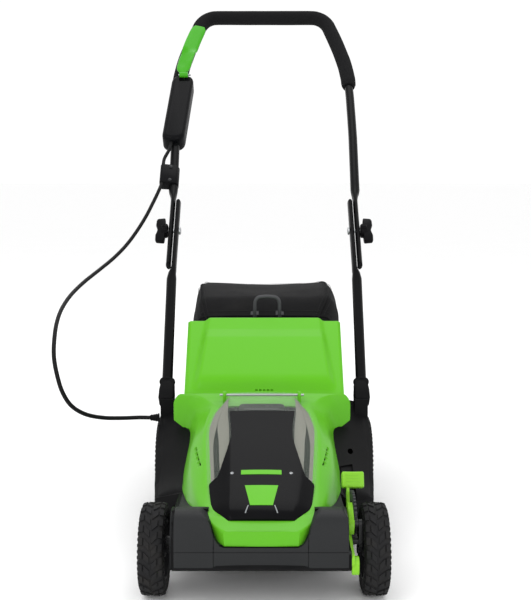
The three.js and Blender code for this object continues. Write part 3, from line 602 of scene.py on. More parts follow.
# switch cable: the stretch held under the clip, then the free loop down to the motor's gland
cable = {
    "diameter": 0.0075, "sides": 14, "loopCount": 150, "heldCount": 40,
    "held": [(-208.5, 682, 12), (-210, 664, 13), (-212, 650, 13), (-221, 624, 12), (-223, 610, 12),
             (-223, 596, 12), (-223, 566, 12), (-223, 536, 12)],
    "loop": [(-223.15, 710.6, 618.6), (-229, 694, 602), (-238, 673, 580), (-250, 648, 553), (-266, 620, 524),
             (-284, 588, 497), (-304, 548, 474), (-326, 496, 454), (-346, 434, 436), (-359, 370, 419),
             (-365, 312, 401), (-365, 264, 382), (-362, 226, 359), (-358, 200, 333), (-351, 188, 304),
             (-343, 190, 274), (-331, 204, 247), (-312, 230, 226), (-286, 258, 213), (-256, 284, 206),
             (-228, 300, 203.2), (-207.4, 300, 203)],
}


def pathLength(path):
    return sum((b - a).length for a, b in zip(path, path[1:]))


def evenPath(points, count):
    fine = [Vector(p) for p in splinePoints([tuple(p) for p in points], len(points) * 12)]
    total, result, gone, target = pathLength(fine), [fine[0]], 0.0, 0.0
    step = total / (count - 1)
    for a, b in zip(fine, fine[1:]):
        run = (b - a).length
        while gone + run >= target + step - 1e-9 and len(result) < count:
            target += step
            result.append(a.lerp(b, min(1, (target - gone) / run)))
        gone += run
    while len(result) < count:
        result.append(fine[-1])
    return result


def cableTube(name, path, body, replaced):
    return newPiece(name, *sweep(path, cable["diameter"] / 2, cable["sides"]), finishes["cable"], body, [replaced],
                    "soft_rubber")


loopPoints = [place(*p) for p in cable["loop"]]
loopPath = evenPath(loopPoints, cable["loopCount"])
cableLoop = cableTube("cable_loop", loopPath, None, "switch_cable")
pathLength(loopPath)
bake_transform(cableLoop)
cableTube("cable_held", evenPath([onHandle(*p) for p in cable["held"]], cable["heldCount"]), "upper_handle_set",
          "switch_cable_held")
print("cable loop length", round(pathLength(loopPath), 4))


def alongX(y, z):
    # a turned part whose axis is a line along X at (y, z)
    return lambda a, b, x: place(x, y + a, z + b)


def alongHandleX(s, off):
    return lambda a, b, x: onHandle(x, s + a, off + b)


glandProfile = [(0.01, -206.5), (4.9, -206.5), (5.6, -205), (5.7, -203), (5.2, -202), (6.2, -200.6), (6.3, -199),
                (5.8, -198), (7.0, -196.6), (7.1, -195), (6.6, -194), (8, -192), (8.3, -190.5), (0.01, -190.5)]
newPiece("gland", *lathe(glandProfile, alongX(300, 203), 40), finishes["black"], "chassis", ["cable_gland"],
         "soft_rubber")

# geometry node trees for what repeats
def newTree(name, inputs):
    group = bpy.data.node_groups.new(name, "GeometryNodeTree")
    group.interface.new_socket("Geometry", in_out="INPUT", socket_type="NodeSocketGeometry")
    for label, kind in inputs:
        group.interface.new_socket(label, in_out="INPUT", socket_type="NodeSocket" + kind)
    group.interface.new_socket("Geometry", in_out="OUTPUT", socket_type="NodeSocketGeometry")
    return group, group.nodes.new("NodeGroupInput"), group.nodes.new("NodeGroupOutput")


def addNode(group, kind, settings=None, **sockets):
    node = group.nodes.new(kind)
    for key, value in (settings or {}).items():
        setattr(node, key, value)
    for key, value in sockets.items():
        slot = node.inputs[key.replace("_", " ")]
        if isinstance(value, bpy.types.NodeSocket):
            group.links.new(value, slot)
        else:
            slot.default_value = value
    return node


def closeTree(group, geometry, given, end):
    real = addNode(group, "GeometryNodeRealizeInstances", Geometry=geometry)
    painted = addNode(group, "GeometryNodeSetMaterial", Geometry=real.outputs[0], Material=given.outputs["Finish"])
    group.links.new(painted.outputs[0], end.inputs[0])
    return group


def aroundTree():
    # turns the piece's own mesh into a ring of copies about an axis along X
    group, given, end = newTree("repeatAround", [("Count", "Int"), ("Centre", "Vector"), ("Finish", "Material")])
    points = addNode(group, "GeometryNodePoints", Count=given.outputs["Count"], Position=given.outputs["Centre"])
    index = addNode(group, "GeometryNodeInputIndex")
    turn = addNode(group, "ShaderNodeMath", {"operation": "DIVIDE"})
    turn.inputs[0].default_value = 2 * math.pi
    group.links.new(given.outputs["Count"], turn.inputs[1])
    angle = addNode(group, "ShaderNodeMath", {"operation": "MULTIPLY"})
    group.links.new(index.outputs[0], angle.inputs[0])
    group.links.new(turn.outputs[0], angle.inputs[1])
    rotation = addNode(group, "ShaderNodeCombineXYZ", X=angle.outputs[0])
    copies = addNode(group, "GeometryNodeInstanceOnPoints", Points=points.outputs[0],
                     Instance=given.outputs["Geometry"])
    group.links.new(rotation.outputs[0], copies.inputs["Rotation"])
    return closeTree(group, copies.outputs[0], given, end)


def stitchTree():
    # lays a short rounded stitch along a line of points, every pitch
    group, given, end = newTree("stitchesAlong", [("Pitch", "Float"), ("Size", "Vector"), ("Finish", "Material")])
    line = addNode(group, "GeometryNodeMeshToCurve", Mesh=given.outputs["Geometry"])
    even = addNode(group, "GeometryNodeResampleCurve", {"mode": "LENGTH"}, Curve=line.outputs[0],
                   Length=given.outputs["Pitch"])
    bead = addNode(group, "GeometryNodeMeshUVSphere", Segments=8, Rings=5, Radius=0.5)
    tangent = addNode(group, "GeometryNodeInputTangent")
    turn = addNode(group, "FunctionNodeAlignRotationToVector", {"axis": "X"}, Vector=tangent.outputs[0])
    copies = addNode(group, "GeometryNodeInstanceOnPoints", Points=even.outputs[0], Instance=bead.outputs[0],
                     Rotation=turn.outputs[0], Scale=given.outputs["Size"])
    return closeTree(group, copies.outputs[0], given, end)


repeatAround, stitchesAlong = aroundTree(), stitchTree()


def applyTree(piece, group, **inputs):
    modifier = piece.modifiers.new("nodes", "NODES")
    modifier.node_group = group
    for item in group.interface.items_tree:
        if item.item_type == "SOCKET" and item.in_out == "INPUT" and item.name in inputs:
            modifier[item.identifier] = inputs[item.name]
    return frozen(piece)


def ringOf(name, shape, count, centre, material, body):
    piece = applyTree(rawPiece(name, shape), repeatAround, Count=count, Centre=centre, Finish=material)
    return finishPiece(piece, material, body, ())


stitch = {"pitch": 0.006, "size": (0.0042, 0.0011, 0.0011)}


def stitches(name, lines, material, body):
    points, edges = [], []
    for line in lines:
        start = len(points)
        points += [tuple(p) for p in line]
        edges += [(start + i, start + i + 1) for i in range(len(line) - 1)]
    piece = linked(name, points, edges, [])
    applyTree(piece, stitchesAlong, Pitch=stitch["pitch"], Size=stitch["size"], Finish=material)
    return finishPiece(piece, material, body, (), 60)


print("cables laid, trees built")

# wheels
wheels = {
    "front": {"radius": 70, "rim": 46, "y": 0, "inner": 149, "blocks": 22, "ribs": 5},
    "rear": {"radius": 85, "rim": 60, "y": 445, "inner": 168, "blocks": 27, "ribs": 6},
    "width": 39, "tread": 2.6, "sides": 96,
}


def tyreShape(radius, rim, side, inner, y, z):
    half = wheels["width"] / 2
    top = radius - wheels["tread"]
    profile = [(rim - 1.5, -half + 6), (rim + 0.5, -half + 1.2), (rim + 4, -half + 0.3),
               (mix(rim, radius, 0.5), -half), (radius - 9, -half + 0.8), (radius - 5.2, -half + 2.6),
               (radius - 3.3, -half + 5.2), (top, -half + 8.5), (top + 0.35, -half + 13), (top + 0.5, 0)]
    profile = profile + [(r, -x) for r, x in reversed(profile[:-1])]
    centre = side * (inner + half)
    return lathe([(r, centre + x) for r, x in splinePoints(profile, 56)], alongX(y, z), wheels["sides"],
                 closed=True)


def wedge(corners, low, high, ease=0.6):
    # a tread block over a patch given by (x, angle) corners, standing from one radius to another
    def ring(radius, inset):
        cx = sum(c[0] for c in corners) / len(corners)
        ca = sum(c[1] for c in corners) / len(corners)
        result = []
        for x, a in corners:
            k = 1 - inset
            px, pa = cx + (x - cx) * k, ca + (a - ca) * k
            drop = max(0, abs(px) - 11) ** 2 * 0.036
            result.append(Vector((px, (radius - drop) * math.cos(pa), (radius - drop) * math.sin(pa))) * millimetre)
        return result
    return skinOf([ring(low, 0), ring(high - ease, 0), ring(high, 0.1)])


def treadCell(radius, count):
    pitch = part(1, count)
    low = radius - wheels["tread"] - 1.2
    parts = []
    for side in (-1, 1):
        shift = 0 if side < 0 else pitch / 2
        lean = pitch * 0.42
        chevron = [(side * 1.4, shift + lean), (side * 9.8, shift), (side * 9.8, shift + pitch * 0.52),
                   (side * 1.4, shift + lean + pitch * 0.52)]
        shoulder = [(side * 11.6, shift - pitch * 0.04), (side * 17.6, shift - pitch * 0.1),
                    (side * 17.6, shift + pitch * 0.5), (side * 11.6, shift + pitch * 0.52)]
        parts += [wedge(chevron, low, radius), wedge(shoulder, low - 2.5, radius - 0.05)]
    return joined(parts)


def sideRib(radius, rim, count, side):
    # one radial rib low on the tyre's outer wall
    x = side * (wheels["width"] / 2)
    pitch = part(1, count * 2)
    rows = []
    for r, out in ((rim + 8, 0.0), (rim + 10, 0.55), (radius - 9, 0.55), (radius - 7, 0.0)):
        rows.append([Vector((x + side * (o - 0.5 if o == 0 else out), r * math.cos(a), r * math.sin(a))) * millimetre
                     for o, a in ((0, -pitch * 0.3), (1, -pitch * 0.2), (1, pitch * 0.2), (0, pitch * 0.3))])
    return skinOf(rows)


def hubShape(rim, side, inner, y, z):
    half = wheels["width"] / 2
    centre = side * (inner + half)
    profile = [(6.2, 18.6), (11.5, 18.6), (13.4, 17.6), (14.2, 15.5), (15.4, 10.5), (22, 8.6), (rim - 16, 9.4),
               (rim - 7.5, 12.6), (rim - 4.2, 17.4), (rim - 2.2, 18.9), (rim - 0.4, 18.8), (rim + 0.2, 17.6),
               (rim - 0.6, 12), (rim - 1.8, 6), (rim - 1.8, -6), (rim - 0.6, -14), (rim + 0.2, -18),
               (rim - 1.2, -19), (rim - 3.4, -18.4), (rim - 5, -9), (rim - 7, 3), (18, 3.6), (15, -1), (13, -15),
               (11.5, -17.5), (6.2, -17.5)]
    profile = rounded([(r, x, 1.2) for r, x in profile], 1.2, 2)
    return lathe([(r, centre + side * x) for r, x in profile], alongX(y, z), wheels["sides"], closed=True)


def hubRib(rim, side):
    # a dished spoke standing on the hub's outer face
    rows = []
    for r, x, w in ((13, 9, 3.0), (15, 14.6, 2.6), (24, 12.6, 2.4), (rim - 16, 12.4, 2.4), (rim - 7.4, 15.6, 2.9),
                    (rim - 4, 16.2, 3.3)):
        rows.append([Vector((side * (x - 7), -w, r)) * millimetre, Vector((side * x, -w * 0.82, r)) * millimetre,
                     Vector((side * (x + 0.7), 0, r)) * millimetre, Vector((side * x, w * 0.82, r)) * millimetre,
                     Vector((side * (x - 7), w, r)) * millimetre])
    return skinOf(rows)


def buildWheel(end, word, side):
    values = wheels[end]
    radius, rim, y, inner = values["radius"], values["rim"], values["y"], values["inner"]
    body = f"{end}_wheel_{word}"
    name = f"{end}_{word}"
    centre = place(side * (inner + wheels["width"] / 2), y, radius)
    newPiece(f"{name}_tyre_wall", *tyreShape(radius, rim, side, inner, y, radius), finishes["tyre"], body,
             [f"{name}_tyre"], "tyre_rubber", 40)
    ringOf(f"{name}_tread", treadCell(radius, values["blocks"]), values["blocks"], centre, finishes["tyre"], body)
    ringOf(f"{name}_wall_ribs", joined([sideRib(radius, rim, values["blocks"], s) for s in (-1, 1)]),
           values["blocks"] * 2, centre, finishes["tyre"], body)
    newPiece(f"{name}_hub_dish", *hubShape(rim, side, inner, y, radius), finishes["hub"], body,
             [f"{name}_hub"], "grey_plastic", 35)
    ringOf(f"{name}_hub_ribs", hubRib(rim, side), values["ribs"] * 2, centre, finishes["hub"], body)
    capProfile = [(0.01, 21.4), (4, 21.3), (8, 20.4), (10.2, 19), (10.8, 17.6), (10.8, 14), (0.01, 14)]
    cap = [(r, side * (inner + wheels["width"] / 2 + x - 2.2)) for r, x in capProfile]
    newPiece(f"{name}_hub_cap", *lathe(cap, alongX(y, radius), 48), finishes["grey"], body, (), "grey_plastic")


for end in ("front", "rear"):
    for word, side in hands.items():
        buildWheel(end, word, side)
print("wheels made")


# deck: rounded nose blocks, the apron between them, and the shoulders, as skins over the deck shell
nose = {
    "ends": (-137, 127.1), "round": 3.5, "middle": -4.7, "foldAt": 69, "foldDepth": 0.9,
    "creaseHeight": 97.3, "creaseDepth": 1.1,
    # room for the height lever: above the crease the nose ends here, under a sloped top corner
    "leverRoom": (122.8, 97.6), "corner": (114.5, 151.6),
    # how high the top stands at a distance from the middle, beside the green hood
    "tops": [(0, 104.4), (54, 104.4), (57.8, 105.5), (62.8, 109), (67, 115), (70, 122), (72, 130), (75, 137),
             (79, 142.5), (85, 147.5), (91, 151), (200, 151)],
}


def noseOutline(top, foot):
    # the nose in side view, from its back foot forward, up and over; top caps its height
    h, crease = nose["creaseHeight"], nose["creaseDepth"]
    front = [(60, foot, 2), (-85, foot, 6), (-90.8, foot + 7, 6), (-90.9, h - 1.3, 0.4), (-90.9 + crease, h, 0.4),
             (-90.7, h + 1.2, 0.4), (-90.2, 104, 4), (-87.6, 122, 18), (-78, 144, 20), (-58, 151.4, 14),
             (-30, 146.9, 16), (0, 135.0, 16), (40, 131.6, 10), (95, 129.2, 4), (95, 100, 2), (60, 90, 4)]
    return [(y, min(z, top)) for y, z in rounded(front, 3, 5)]


def insetOutline(outline, amount):
    # every point moves in along its own normal
    result = []
    n = len(outline)
    for i, (y, z) in enumerate(outline):
        a, b = Vector(outline[i - 1]), Vector(outline[(i + 1) % n])
        along = (b - a).normalized() if (b - a).length > 1e-6 else Vector((1, 0))
        result.append((y + along.y * amount, z - along.x * amount))
    area = sum(outline[i - 1][0] * outline[i][1] - outline[i][0] * outline[i - 1][1] for i in range(n))
    if area > 0:
        result = [(2 * y - p[0], 2 * z - p[1]) for (y, z), p in zip(outline, result)]
    return result


def between(pairs, value):
    for (a, x), (b, y) in zip(pairs, pairs[1:]):
        if a <= value <= b:
            return mix(x, y, (value - a) / (b - a))
    return pairs[-1][1]


def noseTop(x):
    # how high the nose may stand at x: room for the hood in the middle, for the lever at the right end
    edge, foot = nose["leverRoom"]
    if x > edge:
        return foot
    cornerX, cornerZ = nose["corner"]
    return min(between(nose["tops"], abs(x - nose["middle"])), cornerZ - max(x - cornerX, 0))


def noseShape():
    x0, x1 = nose["ends"]
    r, fold, deep = nose["round"], nose["foldAt"], nose["foldDepth"]
    rows = [(x0 + r * (1 - math.sin(math.pi / 2 * k / 6)), r * (1 - math.cos(math.pi / 2 * (1 - k / 6))))
            for k in range(7)]
    left = sorted(rows)
    right = [(x1 - (x - x0), inset) for x, inset in reversed(left)]
    near = [-fold - deep, -fold, -fold + deep]
    stops = sorted({round(x0 + r + k * (x1 - x0 - 2 * r) / 110, 2) for k in range(1, 110)}
                   | {nose["middle"] + n for n in near} | {nose["middle"] - n for n in near}
                   | {nose["corner"][0], nose["leverRoom"][0], nose["leverRoom"][0] + 0.02})
    rings = []
    for x, inset in left + [(x, 0) for x in stops] + right:
        d = abs(x - nose["middle"])
        groove = deep if abs(d - fold) < 0.01 else 0
        foot = 67.0 + 3.4 * (1 - smooth(64, 72, d)) + 1.2 * (1 - min(d / 64, 1) ** 2)
        outline = insetOutline(noseOutline(noseTop(x), foot), max(inset, groove))
        rings.append([fromSide(y, z, x) for y, z in outline])
    return skinOf(rings)


newPiece("deck_nose", *noseShape(), finishes["nose"], "chassis", (), "deck_plastic", 28)

shoulder = {
    "stations": [[84, 147, 60, 108, 116, 134], [92, 150, 58, 110, 116, 136], [110, 179.6, 55, 114, 116, 138],
                 [150, 184.6, 51, 124, 116, 146], [240, 190.6, 59, 162, 116, 178], [310, 190.6, 89, 196, 126, 208],
                 [340, 189.6, 112, 211, 146, 223], [349, 188.4, 120, 214, 150, 225]],
    "thick": 3, "slot": ((128, 150.5), (60, 200)), "sight": 5,
}


def shoulderShape(side):
    rows = []
    for y, w, z0, edge, xIn, zIn in stationsBetween(shoulder["stations"], 7):
        outer = [(xIn, zIn + 1.2), (mix(xIn, w, 0.62), mix(zIn, edge, 0.55) + 2.4, 14), (w - 1, edge + 0.4, 15),
                 (w, mix(edge, z0, 0.55), 20), (w, z0, 0)]
        line = rounded(outer, 0, 7, closed=False)
        inner = [(x - shoulder["thick"] * 0.8, z - shoulder["thick"]) for x, z in line]
        inner[-1] = (line[-1][0] - shoulder["thick"], line[-1][1])
        rows.append([place(side * x, y, z) for x, z in line + inner[::-1]])
    return skinOf(rows)


socket = {"x": 181, "half": (13.0, 13.8), "corner": (4, 9),
          "along": [(-9, 0), (-6, 1.4), (12, 1.4), (22, 0.6), (30, -0.4), (34.4, -1.6), (35, -3)]}


def socketShape(side):
    rows = []
    for s, grow in socket["along"]:
        a, b = socket["half"][0] + grow, socket["half"][1] + grow
        corner = mix(*socket["corner"], smooth(-9, 35, s))
        outline = oblong((-a, a), (-b, b), corner)
        rows.append([onHandle(side * socket["x"] + x, s, off) for x, off in outline])
    return skinOf(rows)


def socketLip(side):
    # the raised collar that the tube drops into
    rows = [(12.6, 34), (14.6, 34), (15, 36), (14.4, 38.6), (12.9, 39.4), (11.2, 39), (10.9, 34)]
    return lathe([(r, s) for r, s in rows], lambda a, b, s: onHandle(side * 181.9 + a, s, b), 40, closed=True)


for word, side in hands.items():
    shoulderPiece = rawPiece(f"deck_shoulder_{word}", shoulderShape(side))
    if side > 0:    # the rod's slot and the sight hole behind the height lever
        r = shoulder["sight"]
        sight = [[place(150 + r * math.cos(part(k, 24)), y, z + r * math.sin(part(k, 24))) for k in range(24)]
                 for y, z in ((100, 196), (300, 140))]
        cutBy(shoulderPiece, [cutter(oblong(*shoulder["slot"]), place, 40, 150), rawPiece("cutter", skinOf(sight))])
    finishPiece(shoulderPiece, finishes["deck"], "chassis", (), 35)
    newPiece(f"tube_socket_{word}", *socketShape(side), finishes["deck"], "chassis", (), "deck_plastic", 35)
    newPiece(f"socket_lip_{word}", *socketLip(side), finishes["deck"], "chassis", (), "deck_plastic", 35)
print("deck skins made")

# green hood
hood = {
    "shift": -4, "wall": 3, "frontY": -86.2, "frontBow": 1.1, "crown": 1.2,
    "stations": [[-85, 54, 105.5, 55, 120, 55, 127.8], [-80, 59.5, 107, 61, 121, 61, 129.2],
                 [-72, 67, 110, 69, 124, 69.5, 132], [-62, 73, 116, 76, 129, 77, 136],
                 [-50, 79, 122, 83, 134, 83, 141], [-36, 88, 127, 88, 138, 84, 144],
                 [0, 106, 133.5, 99, 148, 86, 153.5], [60, 122, 132, 110, 162, 91, 175],
                 [120, 131, 132, 117, 178, 95, 197], [160, 132, 142, 118, 190, 97, 211],
                 [200, 131, 153, 115, 202, 93, 225], [240, 130, 166, 112, 216, 86, 239],
                 [262, 130.5, 173, 116, 226, 98, 243], [272, 132, 178, 124, 234, 110, 247.5],
                 [278, 138, 188, 137, 237, 124, 250], [282, 158, 203, 158, 238, 149, 251],
                 [286.5, 159, 205, 159, 237, 150, 249.5]],
    "slits": {"count": 4, "from": (78, 176.5), "to": (140, 191), "wide": 4.4, "bridge": 0.07},
}


def hoodRows():
    rows = []
    for y, x0, z0, x1, z1, x2, z2 in stationsBetween(hood["stations"], 6):
        crown = hood["crown"] * smooth(255, 285, y)
        half = [(x0, z0, 0), (mix(x0, x1, 0.4), mix(z0, z1, 0.45), 8), (x1, z1, 9), (x2, z2, 5),
                (x2 * 0.5, z2 + crown * 0.8, 4), (0, z2 + crown, 0)]
        line = rounded(half, 0, 5, closed=False)
        whole = [(-x, z) for x, z in line] + [(x, z) for x, z in line[-2::-1]]
        rows.append([place(hood["shift"] + x, y - 1.2, z) for x, z in whole])
    return rows


def openShell(name, rows, wall, extra=None):
    # a skin with its outside up, thickened inwards
    points, faces = skinOf(rows, around=False)
    if extra:
        base = len(points)
        points = points + extra[0]
        faces = faces + [tuple(i + base for i in f) for f in extra[1]]
    shellPiece = linked(name, points, [], faces)
    merge(shellPiece.data, False)
    return withModifier(shellPiece, "SOLIDIFY", thickness=wall * millimetre, offset=-1)


hoodGrid = hoodRows()
firstRow = hoodGrid[0]
middle = len(firstRow) // 2
frontPoints, frontFaces = [], []
for j in range(middle):     # quads between the row's left and right halves, foot to rim
    a, b = firstRow[j], firstRow[j + 1]
    c, d = firstRow[-1 - j], firstRow[-2 - j]
    for u, v in ((k / 12, (k + 1) / 12) for k in range(12)):
        start = len(frontPoints)
        for p, q, t in ((a, c, u), (a, c, v), (b, d, v), (b, d, u)):
            point = p.lerp(q, t)
            point.y = axleY + (hood["frontY"] - hood["frontBow"] * (1 - (2 * t - 1) ** 2)) * millimetre
            frontPoints.append(point)
        frontFaces.append((start, start + 1, start + 2, start + 3))
hoodPiece = openShell("motor_cover", hoodGrid, hood["wall"], (frontPoints, frontFaces))


# the door at distances along the hood, as (along, half width, ridge, height)
doorLine = [[2, 53, 44, 9], [9, 61, 46, 12.5], [18, 70, 47, 14.4], [28, 75.5, 48, 15.2], [40, 77.5, 48, 15.5],
            [120, 86, 49, 15], [232, 92.5, 52, 15], [290, 84, 56, 16], [320, 70, 56, 17], [339, 61, 54, 15]]
openLine = [(w - 7, a) for a, w, r, h in doorLine if 2 < a < 330]
opening = openLine + [(-x, y) for x, y in reversed(openLine)]
cutters = [cutter(rounded(opening, 14, 4), onCover, -34, 26)]
slits = hood["slits"]
for side in (-1, 1):
    for k in range(slits["count"]):
        t0, t1 = k / slits["count"], (k + 1 - slits["bridge"]) / slits["count"]
        (ya, za), (yb, zb) = [[mix(p, q, t) for p, q in zip(slits["from"], slits["to"])] for t in (t0, t1)]
        half = slits["wide"] / 2
        outline = rounded([(ya, za - half, 1.5), (yb, zb - half, 1.5), (yb, zb + half, 1.5), (ya, za + half, 1.5)],
                          1.5, 3)
        cutters.append(cutter(outline, lambda a, b, x: place(hood["shift"] + side * x, a, b), 70, 140))
cutBy(hoodPiece, cutters)
withModifier(hoodPiece, "BEVEL", width=0.5 * millimetre, segments=2, limit_method="ANGLE",
             angle_limit=math.radians(50))
finishPiece(hoodPiece, finishes["hood"], "chassis", ["motor_hood"], 35)

lug = {"x": (62.8, 68.6), "hinge": (338, 11), "round": 6.8}


def lugShape(side):
    a0, h0 = lug["hinge"]
    arc = [(a0 + lug["round"] * math.cos(t), h0 + lug["round"] * math.sin(t)) for t in
           (math.radians(-30 + 15 * k) for k in range(15))]
    outline = [(a0 + lug["round"], -16), *arc, (a0 - lug["round"] - 6, -16)]
    return prism(outline, lambda a, b, x: onCover(side * x, a, b), *lug["x"], bevel=0.8)


for word, side in hands.items():
    newPiece(f"hinge_lug_{word}", *lugShape(side), finishes["hood"], "chassis", (), "deck_plastic", 35)
print("hood made")


# battery door: a clear shell with a glossy black cover on its front and middle
door = {"wall": 2.4, "panelRise": 0.25, "panelThick": 1.1, "flankEnd": 90, "ridgeStart": 104, "panelEnd": 278,
        "flankHalf": 68, "flare": 100}


def doorHeight(row, x):
    # height of the door's outside at a distance from its middle; row is [along, half, ridge, height]
    a, w, r, h = row
    t = min(abs(x) / w, 1)
    knee = r / w
    if t < knee:
        return h + 1.6 * (1 - (t / knee) ** 2)
    u = (t - knee) / (1 - knee)
    return mix(h, 2.2, 0.42 * u + 0.58 * u ** 2.6)


def doorRow(row, half, steps, lift=0.0):
    a, w, r, h = row
    xs = sorted({round(half * k / steps, 4) for k in range(-steps, steps + 1)}
                | ({-r, r} if half > r + 0.5 else set()) | ({-r + 1, r - 1} if half > r + 0.5 else set()))
    if len(xs) < 2 * steps + 5:    # every row needs as many points, so a narrow one has spare ones at its edge
        xs = sorted(xs + [xs[0] + 0.01 * (k + 1) for k in range(2 * steps + 5 - len(xs))])
    return [(x, a, doorHeight(row, x) + lift) for x in xs]


doorStations = stationsBetween(doorLine, 5)
doorRows = [[onCover(*p) for p in doorRow(row, row[1], 26)] for row in doorStations]
endDrop, backDrop = ([[onCover(x, a + out, low) for x, a, h in doorRow(row, row[1], 26)]]
                     for row, out, low in ((doorStations[0], -0.6, 1.4), (doorStations[-1], 1, 4.0)))
doorShell = openShell("clear_door", endDrop + doorRows + backDrop, door["wall"])
finishPiece(doorShell, finishes["clear"], "door", ["battery_door"], 25)


def doorRowAt(a):
    rows = stationsBetween(doorLine, 2)
    return min(rows, key=lambda r: abs(r[0] - a))


def panelHalf(row):
    a, w, r, h = row
    flare = mix(door["flankHalf"], r - 0.6, min(max((a - door["ridgeStart"]) / door["flare"], 0), 1))
    return mix(w - 1.6, min(flare, w - 1.6), smooth(door["flankEnd"], door["ridgeStart"], a))


def panelShape():
    rows = []
    stations = [s for s in stationsBetween(doorLine, 4) if s[0] <= door["panelEnd"]]
    first = stations[0]
    rows.append([(x, first[0] - 1.4, min(h, 2.0)) for x, a, h in doorRow(first, panelHalf(first), 24, 0.3)])
    for row in stations:
        rows.append([(x, a - 0.8 * (row is first), h) for x, a, h in
                     doorRow(row, panelHalf(row), 24, door["panelRise"] + door["panelThick"])])
    return [[onCover(*p) for p in r] for r in rows]


panel = openShell("door_cover", panelShape(), door["panelThick"])
finishPiece(panel, finishes["gloss"], "door", ["door_front_panel"], 25)


def doorPatch(outline, lift, thick, steps=6):
    # a thin plate that follows the door; outline corners are (x, along), left side then right side
    rows = []
    for k in range(steps + 1):
        t = k / steps
        a = mix(outline[0][1], outline[1][1], t)
        x0 = mix(outline[0][0], outline[1][0], t)
        x1 = mix(outline[3][0], outline[2][0], t)
        row = doorRowAt(a)
        rows.append([onCover(mix(x0, x1, j / 8), a, doorHeight(row, mix(x0, x1, j / 8)) + lift + thick)
                     for j in range(9)])
    return openShell("patch", rows, thick)


liner = {"along": (46, 322), "steps": 40, "outerShare": 0.965, "gapShare": 0.82, "gap": 0.05, "under": 3.4,
         "thick": 1.0}


def linerShape(side, inside):
    # frosted webs under the door's flanks; a narrow gap between the two closes towards the hinge
    rows = []
    for k in range(liner["steps"] + 1):
        a = mix(*liner["along"], k / liner["steps"])
        row = doorRowAt(a)
        gap = liner["gap"] * (1 - smooth(190, 260, a)) + 0.003
        share = (row[2] / row[1] + 0.03, liner["gapShare"] - gap) if inside else \
                (liner["gapShare"] + gap, liner["outerShare"])
        rows.append([onCover(side * x, a, doorHeight(row, x) - liner["under"])
                     for x in (mix(*share, j / 8) * row[1] for j in range(9))][::side])
    return rows


for word, side in hands.items():
    for strip, inside in (("inner", True), ("outer", False)):
        web = openShell(f"flank_web_{word}_{strip}", linerShape(side, inside), liner["thick"])
        finishPiece(web, finishes["liner"], "door", (), 40)


panelTop = door["panelRise"] + door["panelThick"]
badges = {
    "door_bar": ([(-32, 100), (-32, 111), (31, 111), (31, 100)], "flap"),
    "door_plate": ([(-17, 25), (-25.5, 72), (25.5, 72), (17, 25)], "flap"),
    # the two slanted light grey strips under the badge are painted highlights on the edges of the finger recess
    "bracket_left": ([(-24.6, 10), (-20.4, 25), (-18.9, 25), (-22.9, 10)], "mark"),
    "bracket_right": ([(22.9, 10), (18.9, 25), (20.4, 25), (24.6, 10)], "mark"),
}
for name, (outline, finish) in badges.items():
    badge = doorPatch(outline, panelTop, 0.5)
    badge.name = name
    finishPiece(badge, finishes[finish], "door", (), 30)


doorScrew = {"x": 46, "along": 105, "radius": 2.8, "tall": 1.1}


def screwHead(x0, a0, h0):
    # a domed cross-head screw standing on a point of the cover frame
    radius, tall = doorScrew["radius"], doorScrew["tall"]
    dome = [(0.01, 0.35), (radius * 0.25, 0.2), (radius * 0.45, tall * 0.9), (radius * 0.8, tall * 0.62),
            (radius, 0.1), (radius, -1), (0.01, -1)]
    return lathe(dome, lambda a, b, h: onCover(x0 + a, a0 + b, h0 + h), 24)


for word, side in hands.items():
    x = side * doorScrew["x"]
    height = doorHeight(doorRowAt(doorScrew["along"]), x) + panelTop
    newPiece(f"door_screw_{word}", *screwHead(x, doorScrew["along"], height), finishes["zinc"], "door", (),
             "zinc_steel")

pack = {"half": 40, "along": (180, 315), "off": (-44, 9), "ribs": 7, "firstRib": 208, "ribPitch": 14, "ribWide": 5}
packPiece = rawPiece("battery_block", prism(oblong((-pack["half"], pack["half"]), pack["along"], (7, 10)), onCover,
                                            *pack["off"], bevel=3))
cutBy(packPiece, [cutter(oblong((-14.6, 14.6), (170, 193)), onCover, -24, 14)])
finishPiece(packPiece, finishes["black"], "battery", ["battery_pack"], 35)
for k in range(pack["ribs"]):
    a = pack["firstRib"] + pack["ribPitch"] * k
    outline = oblong((-30, 30), (a, a + pack["ribWide"]), 1.5, 3)
    newPiece(f"battery_rib_{k + 1}", *prism(outline, onCover, 8.4, 10.6, bevel=0.7), finishes["grey"], "battery", (),
             "grey_plastic")
latchOutline = oblong((-13.8, 13.8), (-18.8, 5), (2, 4), 4)
newPiece("pack_latch", *prism(latchOutline, acrossCover, 180.6, 189, bevel=0.8), finishes["grey"], "latch",
         ["battery_latch"], "grey_plastic")
keyParts = [prism(oblong((-15, 15), (-13, 2), (3, 7)), acrossCover, 149, 158, bevel=1.2),
            prism(oblong((-10, 10), (-45, -12), (2, 1), 3), acrossCover, 150, 157, bevel=0.6)]
newPiece("key_plug", *joined(keyParts), finishes["lime"], "key", ["safety_key"], "lime_plastic")
print("battery door and pack made")


# rear flap: raised middle with stepped ends, a bevelled band along its top and a sunken panel
flap = {
    "length": 206, "half": (145.2, 148.8), "columns": 84, "foot": 0.4, "edge": 7.6, "rise": 5.6, "stretch": 3.4,
    # the step at the raised middle's sides, as (at the hinge, at the top) distances from the middle
    "stepInner": (119, 105), "stepOuter": (137, 117),
    "panel": 4.6, "band": (151, 176), "knuckles": ((-122, -96), (96, 122)), "ribs": (-60, -20, 20, 60),
}


